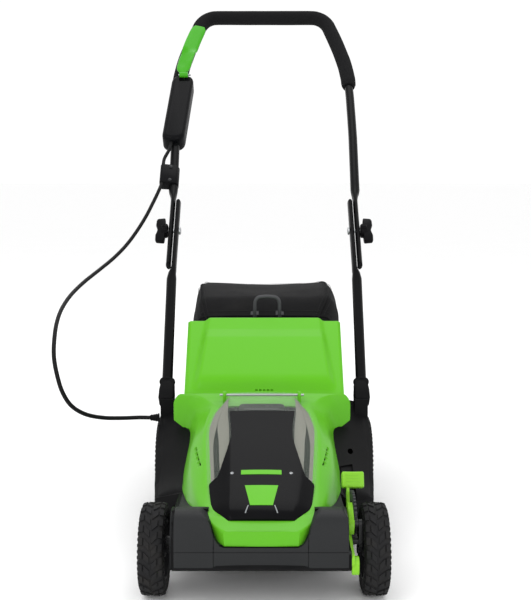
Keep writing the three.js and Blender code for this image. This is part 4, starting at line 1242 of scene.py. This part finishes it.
def flapHeight(x, a):
    across = abs(x)
    share = a / flap["length"]
    half = mix(*flap["half"], share)
    middle = 1 - smooth(mix(*flap["stepInner"], share), mix(*flap["stepOuter"], share), across)
    h = flap["edge"] + flap["rise"] * middle * smooth(14, 40, a)
    h -= 3.6 * smooth(half - 7, half, across) ** 2
    low, high = flap["band"]
    band = min(max((a - low) / (high - low), 0), 1)
    h += flap["panel"] * middle * (1 - band) * smooth(20, 50, a)
    h -= 1.4 * smooth(203.5, 206.5, a) ** 2 + 1.8 * (1 - smooth(9, 12, a)) ** 2
    return h


def flapPoint(x, a, h):
    # the raised middle also stands a little further back than the corners
    inner, outer = flap["stepInner"][1], flap["stepOuter"][1]
    return onFlap(x, a + flap["stretch"] * smooth(186, 206, a) * (1 - smooth(inner, outer, abs(x))), h)


def gridPlate(xs, alongs, top, foot, toPoint):
    # a closed plate over a grid, with its top following a height rule
    upper = [[toPoint(x, a, top(x, a)) for x in xs(a)] for a in alongs]
    lower = [[toPoint(x, a, foot) for x in xs(a)] for a in alongs]
    return skinOf([u + l[::-1] for u, l in zip(upper, lower)])


def flapColumns(a):
    half = mix(*flap["half"], a / flap["length"])
    n = flap["columns"]
    return [half * math.sin(math.pi / 2 * (2 * k / n - 1)) * 0.5 + half * (2 * k / n - 1) * 0.5
            for k in range(n + 1)]


flapAlongs = [9, 10, 11, 12.5, 15, 19, 22, 26, 30] + [34 + 6 * k for k in range(19)]
flapAlongs += [147, 150.6, 151.4, 156, 161, 166, 171, 175.6, 176.4, 181, 187, 193, 198, 202, 203.5, 204.5, 205.5,
               206.5]
flapPiece = rawPiece("rear_cover", gridPlate(flapColumns, flapAlongs, flapHeight, flap["foot"], flapPoint))
dash = {"count": 5, "pitch": 7.0, "half": 2.3, "along": (18.4, 21.6)}
dashXs = [dash["pitch"] * (k - 2) for k in range(dash["count"])]
cutBy(flapPiece, [cutter(oblong((x - dash["half"], x + dash["half"]), dash["along"], 0.8, 2), onFlap, 5.4, 18)
                  for x in dashXs])
finishPiece(flapPiece, finishes["flap"], "flap", ["rear_flap"], 28)


def knuckleShape(x0, x1):
    profile = [(3.6, x0), (4.8, x0), (5.5, x0 + 0.8), (5.5, x1 - 0.8), (4.8, x1), (3.6, x1)]
    barrel = lathe([(r, x) for r, x in profile], lambda a, b, x: onFlap(x, a, b), 32, closed=True)
    web = prism(oblong((x0 + 0.4, x1 - 0.4), (3.8, 12), 0.5, 2), onFlap, 0.6, 5.2, bevel=0.4)
    return joined([barrel, web])


newPiece("flap_knuckles", *joined([knuckleShape(*xs) for xs in flap["knuckles"]]), finishes["flap"], "flap", (),
         "hood_plastic", 35)
for k, x in enumerate(flap["ribs"]):   # ribs under the flap
    web = prism(oblong((x - 1, x + 1), (14, 200)), onFlap, -3.4, 1.2, bevel=0.4)
    newPiece(f"flap_rib_{k + 1}", *web, finishes["flap"], "flap", (), "hood_plastic")
print("flap made")

# grass bag: a sagging fabric shell on a moulded frame, with piping, seams, stitches and a webbing loop
bag = {
    "stations": [[481, 132, 156, 300, 124, 345], [500, 143, 142, 318, 131, 361], [560, 148, 129, 357, 129, 397],
                 [690, 149, 123, 366, 136, 408], [800, 143, 135, 352, 131, 399], [828, 133, 158, 334, 120, 382],
                 [838, 118, 184, 312, 108, 362]],
    "sag": 7, "belly": 3.5, "wrinkle": 1.5, "points": 120, "thick": 1.6, "piping": 0.0019,
}


def bagSection(row, count):
    # the cross-section at one station, as count points round from the middle of the foot
    y, w, z0, z1, wt, zt = row
    half = [(0, z0, 0), (w * 0.62, z0, 0), (w * 0.84, z0 + 3, 22), (w, z0 + 34, 30), (w + 0.5, mix(z0, z1, 0.62), 30),
            (w, z1, 30), (wt, zt - 2, 16), (wt * 0.55, zt, 10), (0, zt, 0)]
    line = rounded(half, 0, 8, closed=False)
    whole = [Vector((x, z)) for x, z in line] + [Vector((-x, z)) for x, z in line[-2:0:-1]]
    lengths = [0]
    for a, b in zip(whole, whole[1:] + whole[:1]):
        lengths.append(lengths[-1] + (b - a).length)
    result = []
    j = 0
    for k in range(count):
        target = lengths[-1] * k / count
        while lengths[j + 1] < target:
            j += 1
        t = (target - lengths[j]) / max(lengths[j + 1] - lengths[j], 1e-9)
        result.append(whole[j].lerp(whole[(j + 1) % len(whole)], t))
    return result, lengths[-1]


def bagPoint(p, y):
    # the cloth hangs in between its seams: a sag on top, a belly below, and soft folds
    x, z = p
    along = smooth(490, 560, y) * (1 - smooth(800, 836, y))
    x += 8 * smooth(20, 130, x) * smooth(200, 330, z) * smooth(500, 560, y)
    rear = smooth(560, 640, y)
    top = smooth(330, 385, z)
    across = max(0, 1 - (x / 125) ** 2)
    z -= bag["sag"] * top * across * along * (0.55 + 0.45 * rear)
    sides = smooth(110, 140, abs(x)) * (1 - smooth(330, 380, z)) * smooth(150, 200, z)
    x -= math.copysign(bag["belly"] * sides * along, x)
    fold = noise.noise(Vector((x * 0.012, y * 0.009, z * 0.016 + 3.1)))
    small = noise.noise(Vector((x * 0.035, y * 0.02 + 7, z * 0.04)))
    push = bag["wrinkle"] * (fold * 1.6 + small * 0.55) * along
    crease = math.exp(-((y - (585 + 0.25 * (z - 250))) / 7) ** 2) * 1.5 * sides * along
    return Vector((x - math.copysign(crease, x) + (push if abs(x) > 100 else 0) * math.copysign(1, x) * 0.8, y,
                   z + (push if z > 330 or z < 150 else 0)))


def bagSkin():
    rows, uvs, run = [], [], 0.0
    stations = stationsBetween(bag["stations"], 6)
    previous = None
    for row in stations:
        ring, total = bagSection(row, bag["points"])
        points = [bagPoint(p, row[0]) for p in ring]
        if previous:
            run += (Vector((0, row[0], row[5])) - previous).length
        previous = Vector((0, row[0], row[5]))
        rows.append(points)
        uvs.append([(total * k / bag["points"] * millimetre, run * millimetre) for k in range(bag["points"] + 1)])
    return rows, uvs


bagRows, bagUvs = bagSkin()
lastRow = bagRows[-1]
backCentre = sum(lastRow, Vector()) / len(lastRow)
for shrink, out in ((0.93, 2.2), (0.8, 3.4), (0.6, 4.2), (0.38, 4.6), (0.16, 4.8)):
    bagRows.append([backCentre + (p - backCentre) * shrink + Vector((0, out, 0)) for p in lastRow])
    bagUvs.append([(u, v + (1 - shrink) * 0.1) for u, v in bagUvs[-1]])
placedRows = [[place(*p) for p in row] for row in bagRows]
count = bag["points"]
bagPoints, bagFaces = skinOf(placedRows, caps=False)
bagFaces.append(tuple((len(placedRows) - 1) * count + i for i in range(count)))
bagPiece = linked("bag_cloth", bagPoints, [], bagFaces)
bagMesh = bagPiece.data
bagMap = bagMesh.uv_layers.new(name="clothUV")
for polygon in bagMesh.polygons:
    cells = [(bagMesh.loops[i].vertex_index // count, bagMesh.loops[i].vertex_index % count)
             for i in polygon.loop_indices]
    wraps = max(c for r, c in cells) - min(c for r, c in cells) > count / 2
    for i, (r, c) in zip(polygon.loop_indices, cells):
        bagMap.data[i].uv = bagUvs[r][count if wraps and c == 0 and len(cells) == 4 else c]
withModifier(bagPiece, "SOLIDIFY", thickness=bag["thick"] * millimetre, offset=1)
finishPiece(bagPiece, finishes["fabric"], "grass_bag", ["bag_body"], 60)


def ringLine(station, start, stop, lift):
    # a line of points round the bag at one station, from start to stop shares of the way round
    row = bagRows[station]
    picks = [row[round(mix(start, stop, k / 90) * count) % count] for k in range(91)]
    centre = Vector((0, picks[0].y, 250))
    return [place(*(p + (p - centre).normalized() * lift)) for p in picks]


def lengthLine(share, first, last, lift):
    column = round(share * count) % count
    picks = [bagRows[r][column] for r in range(first, last)]
    return [place(*(p + Vector((p.x, 0, p.z - 250)).normalized() * lift)) for p in picks]


def cornerShare(row, corner):
    best = min(range(count), key=lambda k: (row[k].x - corner[0]) ** 2 + (row[k].z - corner[1]) ** 2)
    return best / count


stationTotal = len(bagRows) - 5
midRow = bagRows[stationTotal // 2]
shares = [cornerShare(midRow, c) for c in ((133, 406), (-133, 406), (135, 127), (-135, 127))]
seamRows = [3, stationTotal - 5]
for k, share in enumerate(shares):
    path = lengthLine(share, 2, stationTotal - 3, 1.2)
    newPiece(f"bag_piping_{k + 1}", *sweep(path, bag["piping"], 10), finishes["trim"], "grass_bag", (),
             "bag_fabric", 60)
for k, station in enumerate(seamRows):
    path = ringLine(station, 0, 1 - 1 / 91, 1.1)
    points, faces = sweep(path + path[:1], bag["piping"], 10, caps=False)
    newPiece(f"bag_band_{k + 1}", points, faces, finishes["trim"], "grass_bag", (), "bag_fabric", 60)
lines = [lengthLine(s + d, 4, stationTotal - 5, 1.9) for s in shares for d in (-0.012, 0.012)]
lines += [ringLine(seamRows[0] + 2, 0, 1, 1.9), ringLine(seamRows[1] - 2, 0, 1, 1.9)]
stitches("bag_stitches", lines, finishes["thread"], "grass_bag")

def frameRing(outer, inner, y0, y1, ease):
    def towards(outline, other, share):
        return [(mix(a[0], (a[0] + b[0]) / 2, share), mix(a[1], (a[1] + b[1]) / 2, share))
                for a, b in zip(outline, other)]
    outerEdge, innerEdge = towards(outer, inner, 0.16), towards(inner, outer, 0.16)
    rows = [(outer, y0 + ease), (outer, y1 - ease), (outerEdge, y1), (innerEdge, y1), (inner, y1 - ease),
            (inner, y0 + ease), (innerEdge, y0), (outerEdge, y0)]
    rings = [[place(x, y, z) for x, z in outline] for outline, y in rows]
    return skinOf(rings + rings[:1], caps=False)


frameOuter = oblong((-130.5, 130.5), (151.5, 346.5), 16, 6)
frameInner = oblong((-121.5, 121.5), (160.5, 337.5), 10, 6)
newPiece("mouth_frame", *frameRing(frameOuter, frameInner, 476, 480.8, 0.8), finishes["grey"], "grass_bag",
         ["bag_frame"], "deck_plastic", 35)

carry = {"points": [(-19, 500, 358), (-18.5, 492, 376), (-17.5, 490, 392), (-12, 490, 399.5), (-2, 490, 401.6),
                    (6, 490, 402), (14, 490, 401.6), (24, 490, 399.5), (29.5, 490, 392), (30.5, 492, 376),
                    (31, 500, 358)], "wide": 5.2, "thick": 3.4}
carryPath = evenPath([place(*p) for p in carry["points"]], 60)
newPiece("carry_loop", *sweep(carryPath, [(carry["thick"] * millimetre, carry["wide"] * millimetre)] * 60, 20,
                              Vector((0, 1, 0))), finishes["strap"], "grass_bag", ["bag_handle"], "strap", 60)
for k, x in enumerate((-19, 31)):   # sewn tabs at the loop's feet
    tab = prism(oblong((x - 8, x + 8), (499, 527), 2, 3),
                lambda p, q, h: place(p, q, 361.5 + (q - 500) * 0.62 + h - 1.2), -1.5, 1.6, bevel=0.5)
    newPiece(f"carry_tab_{k + 1}", *tab, finishes["strap"], "grass_bag", (), "strap")
print("bag made")


# handle tubes: round tube that is pressed flat where the halves bolt together
tube = {
    "round": 10, "flat": (5.3, 12.4), "sides": 32, "lowerFlat": (316, 500, 31), "upperFlat": (300, 504, 30),
    "lower": [(181, 2), (183, 80), (185, 157), (188, 285), (184.8, 316), (184.8, 400), (184.8, 497)],
    "upper": [(196.4, 321), (196.4, 400), (196.4, 504), (198, 534), (200, 617), (202, 700), (202.5, 770),
              (202.5, 840)],
    "bend": [(201, 909), (196, 954), (187.5, 1000), (177, 1047), (165, 1094), (159.5, 1112), (149, 1129),
             (135, 1139.5), (119, 1143), (60, 1143), (0, 1143)],
}
openSide = Vector((0, -math.sin(handleFrame["angle"]), math.cos(handleFrame["angle"])))


def curved(points, step):
    # a path through points with its long straights kept and its corners eased
    result = []
    for i in range(len(points) - 1):
        run = math.dist(points[i], points[i + 1])
        n = max(2, round(run / step))
        for k in range(n):
            result.append(tuple(curve(*column, k / n) if run < 60 else mix(column[1], column[2], k / n)
                                for column in zip(*ends(points, i))))
    return result + [points[-1]]


def tubeRadii(path, start, stop, ease):
    # the span from start to stop is pressed flat
    radii = []
    for x, s in path:
        f = smooth(start - ease, start, s) * (1 - smooth(stop, stop + ease, s))
        radii.append(tuple(mix(tube["round"], flat, f) * millimetre for flat in tube["flat"]))
    return radii


def tubeShape(path, flat):
    return sweep([onHandle(x, s) for x, s in path], tubeRadii(path, *flat), tube["sides"], openSide)


for word, side in hands.items():
    path = [(side * x, s) for x, s in curved(tube["lower"], 8)]
    newPiece(f"lower_tube_{word}", *tubeShape(path, tube["lowerFlat"]), finishes["tube"], "chassis",
             [f"lower_handle_{word}"], "tube_paint", 40)
upperHalf = curved(tube["upper"] + tube["bend"], 7)
upperWhole = upperHalf + [(-x, s) for x, s in upperHalf[-2::-1]]
newPiece("upper_tube", *tubeShape(upperWhole, tube["upperFlat"]), finishes["tube"], "upper_handle_set",
         ["upper_handle"], "tube_paint", 40)
# plugs in the tubes' open ends, as (name, body, x, profile)
plugs = [("lower", "chassis", 184.8, [(0.01, 495), (4.6, 495), (4.6, 498.5), (4.0, 500.2), (0.01, 500.6)]),
         ("upper", "upper_handle_set", 196.4, [(0.01, 325), (4.6, 325), (4.6, 320.4), (4.0, 318.6), (0.01, 318.2)])]
for word, side in hands.items():
    for which, body, x, plug in plugs:
        newPiece(f"{which}_plug_{word}", *lathe(plug, lambda a, b, s: onHandle(side * x + a, s, b * 2.35), 32),
                 finishes["black"], body, (), "soft_rubber")

foam = {"radius": 17.5, "sides": 40, "wave": 0.28, "ease": {0: 3.4, 1: 0.6}}
foamHalf = [(202, 876), (202, 884)] + curved([(201.6, 892)] + tube["bend"], 5)
foamWhole = foamHalf + [(-x, s) for x, s in foamHalf[-2::-1]]


def foamShape():
    points = [onHandle(x, s) for x, s in foamWhole]
    radii = []
    for i, (x, s) in enumerate(foamWhole):
        ease = foam["ease"].get(min(i, len(points) - 1 - i), 0)
        wave = foam["wave"] * noise.noise(Vector((x * 0.02, s * 0.03, 1.7)))
        r = (foam["radius"] - ease + wave) * millimetre
        radii.append((r, r))
    return sweep(points, radii, foam["sides"], openSide)


foamPiece = newPiece("foam_sleeve", *foamShape(), finishes["foam"], "upper_handle_set", ["foam_grip"], "foam", 60)
print("handle made")

# wing knobs and their bolts
knob = {"s": 416, "hub": [(0.01, 202.4), (11.5, 202.4), (13.6, 203.4), (14, 205), (13.6, 214), (12.2, 216.2),
                          (8, 217), (0.01, 217)],
        "head": [(0.01, 174.9), (5.5, 175.2), (8, 176.4), (8.6, 177.6), (8.6, 179.0), (0.01, 179.0)],
        "shank": [(0.01, 178.6), (4, 178.6), (4, 202), (0.01, 202)]}


def wingShape(side):
    rows = []
    for s, half, x0, x1 in ((-31, 4.5, 211, 224), (-30, 6.6, 209.4, 227), (-26, 8, 208.6, 228.4),
                            (-14, 9.2, 208, 228.6), (-6, 9.6, 208, 226), (0, 9.8, 208, 225), (6, 9.6, 208, 226),
                            (14, 9.2, 208, 228.6), (26, 8, 208.6, 228.4), (30, 6.6, 209.4, 227), (31, 4.5, 211, 224)):
        outline = rounded([(x0, -half, 3), (x1, -half * 0.68, 5), (x1, half * 0.68, 5), (x0, half, 3)], 3, 4)
        rows.append([onHandle(side * x, knob["s"] + s, off) for x, off in outline])
    return skinOf(rows)


def fluteRing(side):
    # small grip flutes round the knob's hub
    return skinOf([[Vector((side * x, w, r)) * millimetre for x, w in oblong(xs, (-half, half))]
                   for xs, half, r in (((203.6, 214), 1.3, 13.2), ((204.4, 213), 0.7, 14.9))])


for word, side in hands.items():
    hub = lathe([(r, side * x) for r, x in knob["hub"]], alongHandleX(knob["s"], 0), 48)
    newPiece(f"knob_wings_{word}", *joined([hub, wingShape(side)]), finishes["black"], f"knob_{word}",
             [f"wing_knob_{word}"], "deck_plastic", 35)
    ringOf(f"knob_flutes_{word}", fluteRing(side), 18, onHandle(0, knob["s"], 0), finishes["black"], f"knob_{word}")
    bolt = [lathe([(r, side * x) for r, x in profile], alongHandleX(knob["s"], 0), sides)
            for profile, sides in ((knob["head"], 36), (knob["shank"], 24))]
    newPiece(f"bolt_head_{word}", *joined(bolt), finishes["zinc"], "chassis", [f"knob_bolt_{word}"], "zinc_steel", 35)

# switch box, start button and bail lever
box = {"centre": -199, "half": 25.5, "lean": 0.064, "s": (673, 894), "corner": 23, "front": 25, "back": -20,
       "buttonAt": 826, "tubeRoom": 10.4, "gripRoom": 18}


def boxX(across, s):
    # the box leans outwards towards its foot
    return box["centre"] + across + box["lean"] * (s - 790)


def boxHalf(low, high, ease):
    x0, x1, s0, s1 = -box["half"], box["half"], *box["s"]
    outline = oblong((x0, x1), (s0, s1), box["corner"], 12)
    rings = []
    for k in range(9):
        a = math.pi / 2 * k / 8
        rings.append((ease * (1 - math.cos(a)), high - (ease if high > low else -ease) * (1 - math.sin(a))))
    rings = [(0, low)] + rings
    placed = []
    for cut, off in rings:
        ring = []
        for x, s in outline:
            nx = min(max(x, x0 + box["corner"]), x1 - box["corner"])
            ns = min(max(s, s0 + box["corner"]), s1 - box["corner"])
            v = Vector((x - nx, s - ns))
            v = v * (1 - cut / max(v.length, cut + 0.1))
            ring.append(onHandle(boxX(nx + v.x, ns + v.y), ns + v.y, off))
        placed.append(ring)
    return skinOf(placed)


def handleRod(x0, x1, s, off, radius):
    rod = [(0.01, x0), (radius, x0), (radius, x1), (0.01, x1)]
    return rawPiece("cutter", lathe(rod, alongHandleX(s, off), 32))


def tubeCutter(radius, path):
    points = [onHandle(x, s) for x, s in path]
    return rawPiece("cutter", sweep(points, radius * millimetre, 32, openSide))


boxPath = [(-202, 640), (-202, 700), (-202.5, 770), (-202.5, 840), (-202, 876), (-201, 909), (-199.5, 925)]
gripPath = [(-202.1, 874), (-202, 884), (-201, 909), (-198, 935)]
notch = cutter(oblong((-201, -176), (868, 930), 2, 3), onHandle, 19, 60)
halves = {"front": (boxHalf(0.3, box["front"], 10), [notch]), "back": (boxHalf(-0.3, box["back"], 9), [])}
for which, (shape, notches) in halves.items():
    half = rawPiece(f"box_{which}", shape)
    buttonHole = handleRod(-232, -212.3, box["buttonAt"], 0, box["tubeRoom"])
    cutBy(half, [tubeCutter(box["tubeRoom"], boxPath), tubeCutter(box["gripRoom"], gripPath), buttonHole] + notches)
    finishPiece(half, finishes["black"], "upper_handle_set", [f"switch_box_{which}"], 35)
for k, (across, s) in enumerate(((15, 702), (15, 858), (-14, 702), (-15, 764))):
    x = boxX(across, s)
    dome = [(0.01, -19.2), (1.6, -19.4), (2.2, -20.8), (3.6, -20.6), (4.2, -19.9), (4.2, -18), (0.01, -18)]
    newPiece(f"box_screw_{k + 1}", *lathe(dome, lambda a, b, h: onHandle(x + a, s + b, h), 24), finishes["zinc"],
             "upper_handle_set", (), "zinc_steel")
ringProfile = [(10.6, -218.4), (13.4, -218.4), (14, -219.4), (13.6, -221), (12.2, -221.8), (10.8, -221.4)]
newPiece("button_ring", *lathe(ringProfile, alongHandleX(box["buttonAt"], 0), 48, closed=True), finishes["grey"],
         "upper_handle_set", (), "grey_plastic", 35)
buttonProfile = [(0.01, -224.1), (5, -223.9), (8, -223.2), (9.4, -221.8), (9.8, -220), (9.8, -216.4), (0.01, -216.4)]
newPiece("start_cap", *lathe(buttonProfile, alongHandleX(box["buttonAt"], 0), 48), finishes["black"], "button",
         ["start_button"], "lime_plastic", 35)

bail = {
    "line": [(-192, 889, 7), (-192.6, 896, 11), (-192.6, 904, 15), (-190.4, 920, 17.2), (-187, 940, 17.6),
             (-180.5, 965, 17.6), (-172, 1000, 17.6), (-163.4, 1030, 17.4), (-160, 1041, 16.8), (-157.6, 1048, 14)],
    "pivot": (888, 27), "slope": 0.09, "rod": (-201, -181, 6.4), "pinRoom": (-212, -168, 2.7),
    # the blade is twisted outwards below its fold and inwards above it
    "fold": (955, 971), "twist": (0.2, -0.26),
}


def bailShape():
    rows = []
    line = stationsBetween([[s, x, h] for x, s, h in bail["line"]], 6)
    for i, (s, x, half) in enumerate(line):
        top = bail["pivot"][1] + 6 + (s - bail["pivot"][0]) * bail["slope"]
        twist = mix(*bail["twist"], smooth(*bail["fold"], s)) * smooth(896, 930, s)
        ease = {0: 2.4, 1: 0.8}.get(min(i, len(line) - 1 - i), 0)
        outline = [(-half + ease, -7 + ease * 0.4, 2), (half - ease, -7 + ease * 0.4, 2),
                   (half - ease, -1.8, 2.4), (half * 0.72, -0.2 - ease * 0.4, 5), (0, 0.3 - ease * 0.4, 8),
                   (-half * 0.72, -0.2 - ease * 0.4, 5), (-half + ease, -1.8, 2.4)]
        rows.append([onHandle(x + px, s, top + off + px * twist) for px, off in rounded(outline, 2, 4)])
    return skinOf(rows)


bailPiece = rawPiece("bail_blade", bailShape())
for key, operation in (("rod", "UNION"), ("pinRoom", "DIFFERENCE")):
    x0, x1, radius = bail[key]
    cutBy(bailPiece, [handleRod(x0, x1, *bail["pivot"], radius)], operation)
finishPiece(bailPiece, finishes["bail"], "bail", ["bail_lever"], 35)
print("switch box and bail lever made")

# cable clip and its two screws
clip = {"s": (545, 600), "screws": (552, 592), "screwX": -206, "tubeRoom": 10.35, "cableRoom": 4.1}
clipOutline = rounded([(-228.6, -8, 7), (-188.4, -11, 9), (-186.6, 4, 6), (-192, 13, 8), (-214, 16.4, 6),
                       (-228.6, 17, 6)], 6, 5)
clipPiece = rawPiece("clip_block", prism(clipOutline, lambda x, off, s: onHandle(x, s, off), *clip["s"], bevel=2.2))
cableRoom = sweep([onHandle(-223, 530, 12), onHandle(-223, 615, 12)], clip["cableRoom"] * millimetre, 24)
cutBy(clipPiece, [tubeCutter(clip["tubeRoom"], [(-198.2, 530), (-198.6, 550), (-199.6, 590), (-200.2, 615)]),
                  rawPiece("cutter", cableRoom)])
finishPiece(clipPiece, finishes["black"], "upper_handle_set", ["cable_clip"], 35)
for k, s in enumerate(clip["screws"]):
    dome = [(0.01, 15.6), (2, 15.4), (3.8, 14.9), (4.4, 13.8), (4.4, 11), (0.01, 11)]
    newPiece(f"clip_screw_{k + 1}", *lathe(dome, lambda a, b, h: onHandle(clip["screwX"] + a, s + b, h + 1.6), 24),
             finishes["steel"], "upper_handle_set", (), "zinc_steel")

# height lever with its broad grip, and the notched plate behind it
lever = {
    "x": (127.2, 131.6), "pivot": (-24.5, 90.6),
    "line": [(-88, 76, 5), (-86, 86, 8), (-70, 87.4, 8.4), (-50, 88.6, 10), (-24.5, 90.6, 13.4), (-12, 104, 10.5),
             (0, 121, 8.2), (14, 138, 7.2), (22, 156, 6.4), (26, 162, 6)],
    "grip": {"centre": (137.5, 30, 169), "half": (17, 10.5, 12.5), "tilt": -0.4},
    "tail": [(-90, 66), (-84, 60), (-74, 66), (-66, 84), (-80, 88), (-90, 84)], "tailX": (127.7, 138.4),
    # the broad edge on the arm runs out from the pivot, as (near, far) pairs
    "edge": {"reach": (15.5, 57.5), "turn": (118, 68), "wide": (7.4, 10.4), "steps": 14},
}


def armShape():
    path = [Vector((y, z)) for y, z, r in lever["line"]]
    left, right = [], []
    for i, (y, z, r) in enumerate(lever["line"]):
        a, b = path[max(i - 1, 0)], path[min(i + 1, len(path) - 1)]
        along = (b - a).normalized()
        side = Vector((-along.y, along.x))
        left.append(tuple(path[i] + side * r))
        right.append(tuple(path[i] - side * r))
    return prism(rounded(left + right[::-1], 5, 4), fromSide, *lever["x"], bevel=0.8)


def gripShape():
    cx, cy, cz = lever["grip"]["centre"]
    hx, hy, hz = lever["grip"]["half"]
    t = lever["grip"]["tilt"]
    rows = []
    for x, k in ((-hx, 0.84), (-hx + 0.8, 0.95), (-hx + 2.4, 1), (-6, 0.985), (0, 0.98), (6, 0.985), (hx - 2.4, 1),
                 (hx - 0.8, 0.95), (hx, 0.84)):
        rows.append([place(cx + x, cy + y * math.cos(t) - z * math.sin(t), cz + y * math.sin(t) + z * math.cos(t))
                     for y, z in oblong((-hy * k, hy * k), (-hz * k, hz * k), (3.4, 4.6))])
    return skinOf(rows)


def flangeShape():
    # a broad front edge on the arm, between the axle and the notched plate
    rows = []
    edge = lever["edge"]
    for t in (k / edge["steps"] for k in range(edge["steps"] + 1)):
        r = mix(*edge["reach"], t)
        a = math.radians(mix(*edge["turn"], smooth(0, 1, t)) - 3)
        y, z = lever["pivot"][0] + r * math.cos(a), lever["pivot"][1] + r * math.sin(a)
        wide = mix(*edge["wide"], t)
        rows.append([place(127.6 + x, y + math.cos(a + 1.57) * d, z + math.sin(a + 1.57) * d) for x, d in
                     rounded([(0, -1.6, 0.5), (wide, -1.6, 0.8), (wide, 1.8, 0.8), (0, 1.8, 0.5)], 0.5, 3)])
    return skinOf(rows)


newPiece("lever_arm", *armShape(), finishes["lime"], "front_axle_set", ["height_lever"], "lime_plastic", 35)
newPiece("lever_flange", *flangeShape(), finishes["lime"], "front_axle_set", (), "lime_plastic", 35)
newPiece("lever_tail", *prism(rounded(lever["tail"], 4, 4), fromSide, *lever["tailX"], bevel=0.8), finishes["lime"],
         "front_axle_set", (), "lime_plastic", 35)
newPiece("lever_knob", *gripShape(), finishes["lime"], "front_axle_set", ["lever_grip"], "lime_plastic", 35)
for k in range(4):   # raised bars that a thumb pushes on
    cx, cy, cz = lever["grip"]["centre"]
    z = -7.5 + 5 * k
    t = lever["grip"]["tilt"]
    bar = prism(oblong((-11, 11), (z - 0.9, z + 0.9), 0.8, 3), lambda x, b, h: place(
        cx + x, cy - h * math.cos(t) - b * math.sin(t), cz - h * math.sin(t) + b * math.cos(t)), 9.6, 11.1, bevel=0.3)
    newPiece(f"lever_bar_{k + 1}", *bar, finishes["lime"], "front_axle_set", (), "lime_plastic")

quadrant = {"x": (132.2, 135.8), "inner": 60, "outer": 76, "notch": 71, "teeth": 17}


def quadrantShape():
    py, pz = lever["pivot"]

    def arc(r, degrees):
        return (py + r * math.cos(math.radians(degrees)), pz + r * math.sin(math.radians(degrees)))
    outline = []
    for k in range(quadrant["teeth"]):
        a = 30 + 6 * k
        outline += [arc(quadrant["outer"], a), arc(quadrant["outer"], a + 2.4), arc(quadrant["notch"], a + 3.2),
                    arc(quadrant["notch"], a + 5)]
    outline += [arc(quadrant["inner"], a) for a in range(130, 30, -6)]
    outline += [(86, 106), (88, 112), (86, 120)]
    return prism(outline, fromSide, *quadrant["x"])


newPiece("notched_plate", *quadrantShape(), finishes["grey"], "chassis", ["height_quadrant"], "grey_plastic")
print("lever and clip made")

# the frame's own nodes that stay, with their finishes
finishOfNode = {
    "deck": ["deck_shell", "battery_bay"],
    "zinc": ["door_hinge_pin", "flap_hinge_rod", "flap_spring", "motor_shaft", "blade_bolt", "lever_pin",
             "battery_terminals"],
    "steel": ["front_axle", "rear_axle", "height_link_rod", "front_axle_clip_left", "front_axle_clip_right",
              "rear_axle_clip_left", "rear_axle_clip_right"],
    "copper": ["motor_can"], "board": ["control_board"], "black": ["blade_fan"], "blade": ["blade"],
}
for finish, names in finishOfNode.items():
    for name in names:
        for slotOfNode in nodes[name].material_slots:
            slotOfNode.material = finishes[finish]
